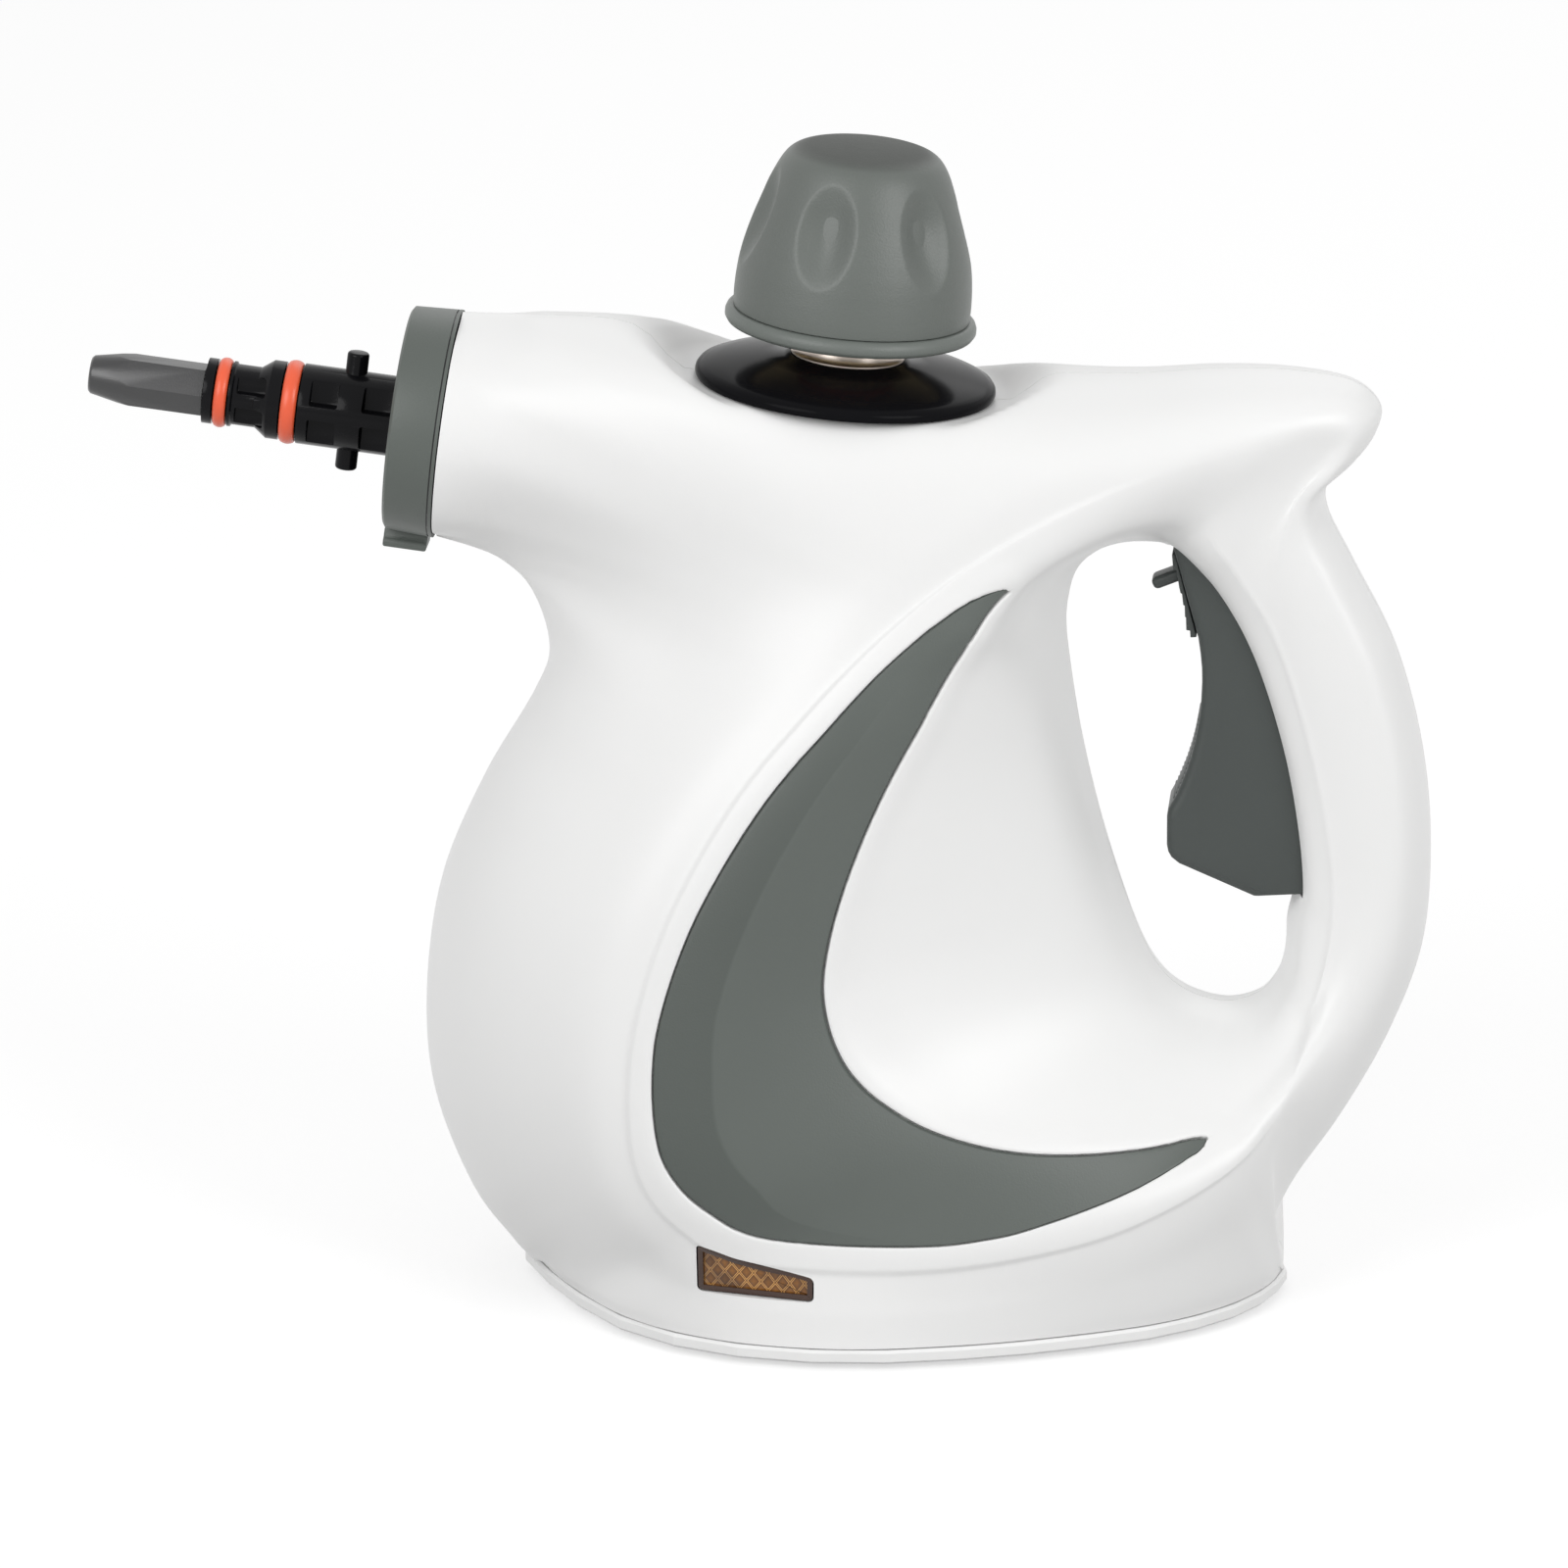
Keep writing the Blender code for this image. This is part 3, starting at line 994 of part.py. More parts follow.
def groove(place, radius, width):
    """The two floor corners of a seal's groove."""
    floor = radius - SEAL_DEPTH - CLEARANCE
    half = width / 2 + CLEARANCE
    return (floor, place - half), (floor, place + half)


large_groove = groove(LARGE_SEAL_PLACE, LARGE_SEAL_RADIUS, LARGE_SEAL_WIDTH)
small_groove = groove(SMALL_SEAL_PLACE, SMALL_SEAL_RADIUS, SMALL_SEAL_WIDTH)
flange_back = small_groove[1][1]
flange_front = flange_back + FLANGE_LENGTH
shoulder = large_groove[1][1] + SHOULDER_LENGTH
nozzle = turned("nozzle_body",
                ((0, -TUBE_BACK), (TUBE_RADIUS, -TUBE_BACK), (TUBE_RADIUS, large_groove[0][1]), *large_groove,
                 (TUBE_RADIUS - CLEARANCE, large_groove[1][1]), (TUBE_RADIUS - CLEARANCE, shoulder),
                 (WAIST_RADIUS, shoulder + SHOULDER_LENGTH), (WAIST_RADIUS, small_groove[0][1]),
                 *small_groove, (FLANGE_RADIUS, flange_back), (FLANGE_RADIUS, flange_front),
                 (0, flange_front)),
                BLACK, COLLAR, NOZZLE_TURN)
pins = turned("pins", ((0, -PIN_REACH), (PIN_RADIUS, -PIN_REACH), (PIN_RADIUS, PIN_REACH), (0, PIN_REACH)),
              BLACK, COLLAR + PIN_PLACE * NOZZLE_ALONG, NOZZLE_TURN + math.pi / 2, SMALL)
weld(nozzle, pins)
cut(nozzle, turned("nozzle_bore",
                   ((0, -TUBE_BACK - OVERRUN), (BORE_RADIUS, -TUBE_BACK - OVERRUN),
                    (BORE_RADIUS, flange_front + OVERRUN), (0, flange_front + OVERRUN)),
                   BLACK, COLLAR, NOZZLE_TURN, SMALL))


def seal_ring(name, place, radius, width):
    """A ring of oval section lying in its groove."""
    middle = radius - SEAL_DEPTH / 2
    turns = [math.tau * step / 6 for step in range(6)]
    profile = [(middle + SEAL_DEPTH / 2 * math.cos(turn), place + width / 2 * math.sin(turn)) for turn in turns]
    turned(name, profile, ORANGE, COLLAR, NOZZLE_TURN, FINE)


seal_ring("seal_large", LARGE_SEAL_PLACE, LARGE_SEAL_RADIUS, LARGE_SEAL_WIDTH)
seal_ring("seal_small", SMALL_SEAL_PLACE, SMALL_SEAL_RADIUS, SMALL_SEAL_WIDTH)
tip_back = flange_front + CLEARANCE
tip_front = tip_back + TIP_LENGTH
turned("nozzle_tip",
       ((TIP_BORE, tip_back), (TIP_RADIUS, tip_back), (TIP_RADIUS, tip_back + TIP_RADIUS / 4),
        ((TIP_RADIUS + TIP_END_RADIUS) / 2, (tip_back + tip_front) / 2), (TIP_END_RADIUS, tip_front - TIP_EDGE),
        (TIP_END_RADIUS - TIP_EDGE, tip_front), (TIP_BORE, tip_front)),
       SATIN_BLACK, COLLAR, NOZZLE_TURN, FINE)

# Trigger on its pin, with the lock slider on its front
trigger_outline = [(x * REACH - PIVOT[0], z * ARM_TOP - PIVOT[2]) for x, z in TRIGGER_SHARES]
trigger = prism("trigger", trigger_outline, TRIGGER_HALF, DARK_GREY)
trigger.location = PIVOT
pivot_hole = PIVOT_RADIUS + CLEARANCE
pin_half = depth_at(PIVOT[0], PIVOT[2]) - 2 * WALL
cut(trigger, crossways("pivot_hole",
                       ((0, -TRIGGER_HALF - OVERRUN), (pivot_hole, -TRIGGER_HALF - OVERRUN),
                        (pivot_hole, TRIGGER_HALF + OVERRUN), (0, TRIGGER_HALF + OVERRUN)),
                       DARK_GREY, PIVOT[0], PIVOT[2]))
crossways("trigger_pin",
          ((0, -pin_half), (PIVOT_RADIUS, -pin_half), (PIVOT_RADIUS, pin_half), (0, pin_half)),
          STEEL, PIVOT[0], PIVOT[2])
coil = []
turn_points = 8
coil_start = TRIGGER_HALF + SPRING_WIRE + CLEARANCE
for point in range(SPRING_TURNS * turn_points + 1):
    angle = math.tau * point / turn_points
    along = coil_start + (2 * SPRING_WIRE + CLEARANCE) * point / turn_points
    coil.append((PIVOT[0] + SPRING_RADIUS * math.cos(angle), along, PIVOT[2] + SPRING_RADIUS * math.sin(angle)))
tube("trigger_spring", coil, SPRING_WIRE, STEEL, 0)

slider_top, slider_bottom = (spot(shares) for shares in SLIDER_SHARES)
back_x = min(slider_top[0], slider_bottom[0]) - CLEARANCE
front_x = back_x - SLIDER_THICK
slider_length = slider_top[2] - slider_bottom[2]
rise = slider_length / (2 * SLIDER_STEPS)
slider_outline = [(back_x, slider_bottom[2]), (back_x, slider_top[2])]
for step in range(SLIDER_STEPS):
    high = slider_top[2] - 2 * step * rise
    slider_outline += [(front_x, high), (front_x, high - rise), (front_x + SLIDER_STEP, high - rise),
                       (front_x + SLIDER_STEP, high - 2 * rise)]
slider = prism("lock_slider", slider_outline, SLIDER_HALF, GREY)
tab_z = slider_top[2] - slider_length / 3
tab_outline = [(back_x - SLIDER_THICK / 2, tab_z + TAB_THICK), (front_x - TAB_REACH / 2, tab_z),
               (front_x - TAB_REACH / 2, tab_z - TAB_THICK / 2), (back_x - SLIDER_THICK / 2, tab_z - TAB_THICK)]
weld(slider, prism("tab", tab_outline, SLIDER_HALF / 2, GREY))

# Steam valve pushed by the trigger's upper end, and the pipes
lever_x = (TRIGGER_SHARES[13][0] + TRIGGER_SHARES[14][0]) / 2 * REACH
stem_tip = lever_x - STEM_GAP
valve_face = stem_tip - STEM_HEAD - VALVE_GAP
valve = turned("valve_body",
               ((0, -VALVE_LENGTH), (VALVE_RADIUS, -VALVE_LENGTH), (VALVE_RADIUS, 0),
                (STEM_RADIUS + CLEARANCE, 0), (STEM_RADIUS + CLEARANCE, -STEM_LENGTH), (0, -STEM_LENGTH)),
               BRASS, (valve_face, 0.0, VALVE[2]), math.pi / 2, FINE)
turned("valve_stem",
       ((0, -STEM_LENGTH), (STEM_RADIUS, -STEM_LENGTH), (STEM_RADIUS, -STEM_HEAD),
        (STEM_HEAD_RADIUS, -STEM_HEAD), (STEM_HEAD_RADIUS, 0), (0, 0)),
       STEEL, (stem_tip, 0.0, VALVE[2]), math.pi / 2, SMALL)
valve_back = np.array([valve_face - VALVE_LENGTH, 0.0, VALVE[2]])
feed_start = on_boiler(FITTING_CIRCLE, 0.0, 2 * CLEARANCE)
feed_rise = on_boiler(FITTING_CIRCLE, 0.0, 2 * PIPE_RADIUS)
feed_end = valve_back - np.array([PIPE_RADIUS / 4, 0.0, 0.0])
feed_route = [feed_start, feed_rise]
feed_route += [feed_rise + (feed_end - feed_rise) * (over, 1.0, up) for over, up in FEED_ROUTE_SHARES]
feed_route += [feed_end - np.array([2 * PIPE_RADIUS, 0.0, 0.0]), feed_end]
tube("feed_pipe", smooth_route(feed_route, 3), PIPE_RADIUS, BRASS)
steam_start = valve_back + np.array([2 * PIPE_RADIUS, VALVE_RADIUS + PIPE_RADIUS + CLEARANCE, 0.0])
steam_end = COLLAR - (TUBE_BACK + 2 * CLEARANCE) * NOZZLE_ALONG
steam_route = [steam_start]
for shares, swing in zip(STEAM_ROUTE_SHARES, STEAM_ROUTE_SWING_SHARES):
    steam_route.append(spot(shares, swing * PIPE_SWING))
steam_route += [steam_end - 2 * PIPE_RADIUS * NOZZLE_ALONG, steam_end]
tube("steam_pipe", smooth_route(steam_route, 3), PIPE_RADIUS, BRASS)
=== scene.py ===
"""Handheld steam cleaner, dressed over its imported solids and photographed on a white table."""

import math

import bpy
import numpy as np
from mathutils import Matrix, Vector
from mathutils.bvhtree import BVHTree
from mathutils.kdtree import KDTree


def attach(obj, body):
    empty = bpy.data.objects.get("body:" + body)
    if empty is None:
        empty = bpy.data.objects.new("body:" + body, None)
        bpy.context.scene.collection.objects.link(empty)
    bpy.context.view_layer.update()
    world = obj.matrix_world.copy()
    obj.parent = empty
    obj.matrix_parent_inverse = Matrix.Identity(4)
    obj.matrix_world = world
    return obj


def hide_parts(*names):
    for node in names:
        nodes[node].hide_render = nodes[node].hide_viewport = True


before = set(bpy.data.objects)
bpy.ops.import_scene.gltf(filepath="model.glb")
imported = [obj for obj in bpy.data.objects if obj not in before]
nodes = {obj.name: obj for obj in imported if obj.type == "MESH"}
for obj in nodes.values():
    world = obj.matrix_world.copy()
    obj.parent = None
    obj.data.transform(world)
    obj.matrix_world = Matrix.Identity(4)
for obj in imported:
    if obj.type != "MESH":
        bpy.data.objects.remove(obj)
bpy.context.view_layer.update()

# Studio
# A long lens looks down a little from in front of the near side, over a white table. Two broad soft lamps stand
# in front, one on the nozzle's side and one on the handle's, a weaker one behind, and the room is white.
look_at = Vector((0.005, 0.0, 0.1107))
camera_turn, camera_rise, camera_far = math.radians(4.5), math.radians(16.5), 2.4
sensor, picture_width = 36.0, 1600 * 0.00021
back = Vector((math.sin(camera_turn) * math.cos(camera_rise), -math.cos(camera_turn) * math.cos(camera_rise),
               math.sin(camera_rise)))
bpy.ops.object.camera_add(location=look_at + camera_far * back, rotation=back.to_track_quat("Z", "Y").to_euler())
camera = bpy.context.object
camera.name = "studio_camera"
camera.data.sensor_width = sensor
camera.data.lens = sensor * camera_far / picture_width
camera.data.clip_end = 20.0
bpy.context.scene.camera = camera
bpy.context.scene.view_settings.view_transform = "Standard"

for name, place, size, watts in (
        ("lamp_by_nozzle", (-0.91, -1.30, 0.955), 1.2, 11.9),
        ("lamp_by_handle", (1.25, -1.05, 0.87), 1.0, 10.8),
        ("lamp_behind", (0.3, 1.4, 1.3), 1.4, 3.2)):
    direction = Vector(place) - look_at
    bpy.ops.object.light_add(type="AREA", location=place, rotation=direction.to_track_quat("Z", "Y").to_euler())
    lamp = bpy.context.object
    lamp.name = name
    lamp.data.shape = "DISK"
    lamp.data.size = size
    lamp.data.energy = watts


def wired(tree, kind, inputs, output=0, **settings):
    """One output of a new shader node; each input is given a value or linked from a socket."""
    node = tree.nodes.new(kind)
    for setting, value in settings.items():
        setattr(node, setting, value)
    for name, value in inputs.items():
        if isinstance(value, bpy.types.NodeSocket):
            tree.links.new(value, node.inputs[name])
        else:
            node.inputs[name].default_value = value
    return node.outputs[output] if node.outputs else None


def seen_or_mirrored(tree):
    """1 for what the camera sees directly, in a reflection or through something clear, and 0 for the light."""
    paths = tree.nodes.new("ShaderNodeLightPath").outputs
    mirrored = wired(tree, "ShaderNodeMath", {0: paths["Is Glossy Ray"], 1: paths["Is Transmission Ray"]},
                     operation="MAXIMUM")
    return wired(tree, "ShaderNodeMath", {0: paths["Is Camera Ray"], 1: mirrored}, operation="MAXIMUM")


room_light, room_white = 0.58, 1.0
world = bpy.data.worlds.new("white_room")
bpy.context.scene.world = world
world.use_nodes = True
tree = world.node_tree
room = tree.nodes["Background"]
room.inputs["Color"].default_value = (1.0, 1.0, 1.0, 1.0)
strength = wired(tree, "ShaderNodeMapRange",
                 {"To Min": room_light, "To Max": room_white, "Value": seen_or_mirrored(tree)})
tree.links.new(strength, room.inputs["Strength"])

table_grey, table_glow = 0.50, 0.59
bpy.ops.mesh.primitive_grid_add(x_subdivisions=8, y_subdivisions=8, size=6.0, location=(0.0, 1.2, -0.0004))
table = bpy.context.object
table.name = "white_table"
white = bpy.data.materials.new("white_table")
white.use_nodes = True
tree = white.node_tree
tree.nodes.clear()
painted = wired(tree, "ShaderNodeBsdfDiffuse", {"Color": (table_grey, table_grey, table_grey, 1.0)})
glowing = wired(tree, "ShaderNodeEmission", {"Strength": table_glow})
both = wired(tree, "ShaderNodeAddShader", {0: painted, 1: glowing})
pick = wired(tree, "ShaderNodeMixShader", {"Fac": seen_or_mirrored(tree), 1: painted, 2: both})
wired(tree, "ShaderNodeOutputMaterial", {"Surface": pick})
table.data.materials.append(white)

# Body
# Two halves moulded in white satin plastic, butted on the middle plane and drawn together by five screws from
# the far side. The shape is carried by seven rings: the edge of the hand opening, its rounded lip, the edge of
# the inner panel, the crease outside the crescent, two on the shoulder, and the outline.
reach, half_width, arm_top, base_edge = 0.1436, 0.061, 0.2045, 0.0043
wall, seam, spokes = 0.0025, 0.00015, 49
opening_shares = (
    (0, 0.578, 0.817), (1, 0.543, 0.816), (2, 0.515, 0.811), (3, 0.494, 0.802), (4, 0.476, 0.789),
    (5, 0.464, 0.772), (6, 0.458, 0.753), (8, 0.455, 0.724), (10, 0.460, 0.687), (12, 0.469, 0.643),
    (14, 0.483, 0.589), (16, 0.510, 0.511), (18, 0.545, 0.433), (20, 0.575, 0.379), (22, 0.604, 0.346),
    (24, 0.634, 0.328), (26, 0.670, 0.318), (28, 0.709, 0.316), (30, 0.753, 0.329), (32, 0.779, 0.357),
    (34, 0.787, 0.389), (35.5, 0.789, 0.421), (37, 0.802, 0.450), (39, 0.790, 0.543), (40.5, 0.770, 0.609),
    (42, 0.735, 0.685), (44, 0.689, 0.751), (46, 0.646, 0.790), (47.5, 0.609, 0.812),
)
panel_shares = (
    (0, 0.627, -0.311, 0.861), (2, 0.529, -0.418, 0.853), (4, 0.439, -0.508, 0.826),
    (6, 0.380, -0.557, 0.794), (8, 0.338, -0.615, 0.756), (10, 0.299, -0.644, 0.719),
    (12, 0.258, -0.680, 0.665), (14, 0.205, -0.721, 0.594), (16, 0.150, -0.770, 0.496),
    (18, 0.122, -0.808, 0.396), (20, 0.153, -0.833, 0.318), (22, 0.223, -0.836, 0.269),
    (24, 0.320, -0.826, 0.236), (26, 0.453, -0.775, 0.217), (28, 0.627, -0.615, 0.217),
    (30, 0.731, -0.434, 0.252), (32, 0.794, -0.328, 0.291), (34, 0.827, -0.279, 0.330),
    (36, 0.852, -0.246, 0.386), (38, 0.859, -0.233, 0.474), (40, 0.826, -0.230, 0.606),
    (42, 0.776, -0.230, 0.719), (44, 0.728, -0.241, 0.782), (46, 0.687, -0.267, 0.824),
)
crease_shares = (
    (0, 0.662, -0.369, 0.927), (2, 0.515, -0.467, 0.894), (4, 0.397, -0.554, 0.856),
    (6, 0.306, -0.616, 0.817), (8, 0.230, -0.667, 0.775), (10, 0.153, -0.718, 0.724),
    (12, 0.077, -0.766, 0.665), (14, -0.010, -0.815, 0.587), (16, -0.103, -0.869, 0.465),
    (18, -0.155, -0.908, 0.333), (20, -0.150, -0.939, 0.208), (22, -0.077, -0.957, 0.139),
    (24, 0.035, -0.967, 0.110), (26, 0.292, -0.951, 0.108), (28, 0.536, -0.823, 0.134),
    (30, 0.703, -0.639, 0.183), (32, 0.769, -0.508, 0.222), (34, 0.808, -0.426, 0.259),
    (36, 0.881, -0.307, 0.340), (38, 0.925, -0.256, 0.487), (40, 0.881, -0.249, 0.692),
    (41, 0.831, -0.249, 0.775), (42, 0.794, -0.251, 0.826), (43, 0.789, -0.251, 0.861),
    (44, 0.808, -0.238, 0.890), (45, 0.832, -0.216, 0.912), (46, 0.839, -0.213, 0.931),
    (47, 0.801, -0.256, 0.940), (48, 0.738, -0.315, 0.936),
)
outline_shares = (
    (0, 0.675, 1.000), (1, 0.543, 0.993), (2, 0.397, 0.996), (3, 0.209, 1.014), (4, 0.014, 1.028),
    (5, -0.188, 1.041), (11, -0.403, 0.788), (12, -0.345, 0.754), (13, -0.315, 0.690), (14, -0.339, 0.637),
    (15, -0.414, 0.545), (16, -0.478, 0.436), (17, -0.502, 0.317), (18, -0.492, 0.208), (19, -0.434, 0.100),
    (20, -0.373, 0.042), (32, 0.787, 0.044), (33, 0.772, 0.069), (34, 0.803, 0.123), (35, 0.875, 0.200),
    (36, 0.942, 0.288), (37, 0.990, 0.385), (38, 1.000, 0.493), (39, 0.985, 0.600), (40, 0.944, 0.705),
    (41, 0.880, 0.794), (42, 0.840, 0.851), (43, 0.842, 0.885), (44, 0.882, 0.910), (45, 0.909, 0.936),
    (46, 0.915, 0.965), (47, 0.873, 0.990), (48, 0.780, 1.000),
)
lower_edge_shares = (
    (21, -0.352, 0.0), (22, -0.282, -0.361), (23, -0.167, -0.738), (24, -0.021, -0.943),
    (25, 0.153, -1.000), (26, 0.327, -0.926), (27, 0.474, -0.803), (28, 0.613, -0.639),
    (29, 0.710, -0.434), (30, 0.768, -0.205), (31, 0.789, 0.0),
)
lip_shares = (
    (0, 0.35, -0.205), (3, 0.40, -0.246), (6, 0.42, -0.279), (10, 0.26, -0.311), (16, 0.13, -0.311),
    (20, 0.12, -0.295), (24, 0.12, -0.262), (28, 0.20, -0.230), (31, 0.35, -0.197), (34, 0.40, -0.180),
    (37, 0.30, -0.177), (44, 0.30, -0.177), (46.5, 0.30, -0.189),
)
fullness_shares = (
    (0, 1.00), (2, 1.15), (4, 1.40), (5, 1.30), (6, 0.83), (7, 0.28), (8, -0.05), (9, -0.60), (10, -0.25),
    (11, 0.05), (12, 0.25), (13, 0.40), (14, 0.60), (15, 0.85), (16, 1.00), (18, 1.00), (19, 0.92),
    (20, 0.72), (21, 0.50), (22, 0.32), (23, 0.20), (24, 0.12), (26, 0.10), (28, 0.12), (30, 0.30),
    (31, 0.45), (32, 0.60), (33, 0.75), (34, 0.85), (36, 1.00), (47, 1.00),
)
corner_spokes = (6, 10, 21, 31)
collar_middle = np.array([-0.462 * reach, 0.0, 0.924 * arm_top])
nozzle_tilt = math.radians(7.0)
nozzle_up = np.array([math.sin(nozzle_tilt), 0.0, math.cos(nozzle_tilt)])
nozzle_along = np.array([-math.cos(nozzle_tilt), 0.0, math.sin(nozzle_tilt)])
snout_radius = 0.0248
disc_middle = np.array([0.126 * reach, 0.0, 0.982 * arm_top])
disc_tilt, disc_radius = math.radians(4.8), 0.0320
disc_axis = np.array([math.sin(disc_tilt), 0.0, math.cos(disc_tilt)])
seat_deep, bank_start, bank_width, bank_high = 0.0015, 0.0015, 0.0130, 0.0090
bank_end, bank_slope, bank_reach, bank_blend = 0.0135, 0.42, 0.0280, 0.0012
near_side = np.array([0.0, -1.0, 0.0])
across_seam = np.array([1.0, -1.0, 1.0])


def blended(start, leaving, end, arriving, t):
    """The cubic between two values with the given slopes, for t from 0 to 1."""
    return (start * (2 * t**3 - 3 * t**2 + 1) + leaving * (t**3 - 2 * t**2 + t)
            + end * (3 * t**2 - 2 * t**3) + arriving * (t**3 - t**2))


def closed_curve(knots, spoke, corners=()):
    """A smooth closed curve through (spoke, values) knots, read at the given spokes; corners stay sharp."""
    at = np.array([knot[0] for knot in knots], float)
    value = np.array([knot[1:] for knot in knots], float)
    span = np.diff(np.append(at, at[0] + spokes))
    slope = (np.roll(value, -1, axis=0) - value) / span[:, None]
    behind, span_behind = np.roll(slope, 1, axis=0), np.roll(span, 1)
    mean = (behind * span[:, None] + slope * span_behind[:, None]) / (span + span_behind)[:, None]
    sharp = np.isin(at, corners)[:, None]
    arriving, leaving = np.where(sharp, behind, mean), np.where(sharp, slope, mean)
    spoke = np.asarray(spoke, float) % spokes
    spoke = np.where(spoke < at[0], spoke + spokes, spoke)
    here = np.searchsorted(at, spoke, side="right") - 1
    after = (here + 1) % len(at)
    t = ((spoke - at[here]) / span[here])[:, None]
    pull = span[here][:, None]
    return blended(value[here], leaving[here] * pull, value[after], arriving[after] * pull, t)


def sized(shares):
    """Shares of the body's sizes as metres, each after its spoke; a line without a side is in the middle plane."""
    return [(spoke, across * reach, sum(side) * half_width, up * arm_top) for spoke, across, *side, up in shares]


def body_rings(spoke):
    """The seven rings at the given spokes."""
    whole = np.arange(spokes)
    opening, panel, crease = (closed_curve(sized(shares), whole)
                              for shares in (opening_shares, panel_shares, crease_shares))
    edge = sized(outline_shares)
    edge += [(line[0], line[1] * reach, line[2] * half_width, base_edge) for line in lower_edge_shares]
    first, last = corner_spokes[:2]
    for number in range(first, last + 1):
        angle = math.pi * (number - first) / (last - first)
        rim = collar_middle + snout_radius * (math.cos(angle) * nozzle_up + math.sin(angle) * near_side)
        edge.append((number, *rim))
    outline = closed_curve(sorted(edge), whole, corner_spokes)
    lip_read = closed_curve(lip_shares, whole)
    lip = opening + (panel - opening) * lip_read[:, :1]
    lip[:, 1] = lip_read[:, 1] * half_width
    fullness = closed_curve(fullness_shares, whole)[:, 0]
    averaged = (whole >= corner_spokes[0] // 2) & (whole <= corner_spokes[2])
    rings = [opening, lip, panel, crease]
    for angle, passes in ((math.radians(30), 4), (math.radians(60), 1)):
        depth = fullness * math.cos(angle) + (1 - fullness) * (1 - math.sin(angle))
        shoulder = crease + (outline - crease) * math.sin(angle)
        shoulder[:, 1] = outline[:, 1] + (crease[:, 1] - outline[:, 1]) * depth
        for _ in range(passes):
            mean = (np.roll(shoulder, 1, axis=0) + 2 * shoulder + np.roll(shoulder, -1, axis=0)) / 4
            shoulder = np.where(averaged[:, None], mean, shoulder)
        rings.append(shoulder)
    rings.append(outline)
    corners = [()] * 6 + [corner_spokes]
    return np.array([closed_curve(np.column_stack([whole, ring]), spoke, sharp)
                     for ring, sharp in zip(rings, corners)])


def skin(spoke, place):
    """Points of the near half's surface; place counts the rings outward, one line for each line of points."""
    rings = body_rings(spoke)
    ahead = rings[1] * across_seam + rings[0] * (1 - across_seam)
    in_plane = np.abs(rings[-1][:, 1:2]) < seam
    over = np.where(in_plane, rings[-2] * across_seam, 2 * rings[-1] - rings[-2])
    rings = np.concatenate([ahead[None], rings, over[None]])
    first = np.minimum(np.floor(place).astype(int), len(rings) - 4)
    t = (place - first)[..., None]
    every = np.arange(len(spoke))
    a, b, c, d = (rings[first + step, every] for step in range(4))
    one, two, three = (np.sqrt(np.linalg.norm(q - p, axis=-1, keepdims=True)) for p, q in ((a, b), (b, c), (c, d)))
    leave = ((b - a) / one * two + (c - b) / two * one) / (one + two) * two
    arrive = ((c - b) / two * three + (d - c) / three * two) / (two + three) * two
    return with_scoop(blended(b, leave, c, arrive, t))


def with_scoop(points):
    """The points with the filler disc's seat pressed into the top, in a shallow round channel."""
    offset = points - disc_middle
    height = offset @ disc_axis
    radius = np.linalg.norm(offset - height[..., None] * disc_axis, axis=-1)
    past = radius - disc_radius
    ceiling = (bank_high * eased((past - bank_start) / bank_width) - seat_deep
               + bank_slope * np.clip(past - bank_end, 0, None))
    lower = bank_blend * np.logaddexp(0, (height - ceiling) / bank_blend)
    return points - np.where(past < bank_reach, lower, 0)[..., None] * disc_axis


def facing(spoke, place):
    """Unit normals of the near half's surface, pointing out of the body."""
    nudge = 0.02
    across = skin(spoke, np.minimum(place + nudge, outline_place)) - skin(spoke, np.maximum(place - nudge, 0.0))
    along = skin(spoke + nudge, place) - skin(spoke - nudge, place)
    normal = np.cross(across, along)
    return normal / np.linalg.norm(normal, axis=-1, keepdims=True)


def eased(value):
    """A smooth step from 0 to 1."""
    value = np.clip(value, 0, 1)
    return value * value * (3 - 2 * value)


def stretch(spoke, start, rise, end, fall):
    """1 on a stretch of spokes and 0 off it, with soft ends."""
    return eased((spoke - start) / rise) * (1 - eased((spoke - end) / fall))


def between(start, end, shares):
    """Places on the way from start to end."""
    return [start + (end - start) * share for share in shares]


def fine_places(start, room, gap, steps):
    """Places at the given distances from a start, on rings a gap apart, drawing together before the room ends."""
    return [start + room * (1 - np.exp(-step / (abs(room) * gap))) for step in steps]


# The crescent's edges, which its recess in the body follows: spoke, and the inner and the outer edge as shares of
# the way from panel to crease
crescent_shares = (
    (5.2, 0.10, 0.14), (5.6, 0.11, 0.24), (6, 0.12, 0.41), (6.5, 0.12, 0.54), (7, 0.11, 0.61), (8, 0.07, 0.69),
    (9, 0.03, 0.72), (10, 0.01, 0.745), (12, 0.01, 0.775), (16, 0.01, 0.845), (18, 0.01, 0.87), (20, 0.01, 0.855),
    (22, 0.01, 0.825), (24, 0.01, 0.805), (26, 0.01, 0.775), (26.7, 0.01, 0.73), (27.3, 0.01, 0.625),
    (27.9, 0.015, 0.51), (28.3, 0.04, 0.445), (28.6, 0.09, 0.41), (28.9, 0.16, 0.385), (29.2, 0.25, 0.375),
    (29.5, 0.30, 0.36), (34, 0.10, 0.14),
)
crescent_start, crescent_end = 5.6, 29.22
crescent_tips = ((crescent_start, 0.17, 1), (crescent_end, 0.14, -1))
lip_place, panel_place, crease_place, outline_place = 1.0, 2.0, 3.0, 6.0
hairline, tip_pitch = 0.0003, 0.0015


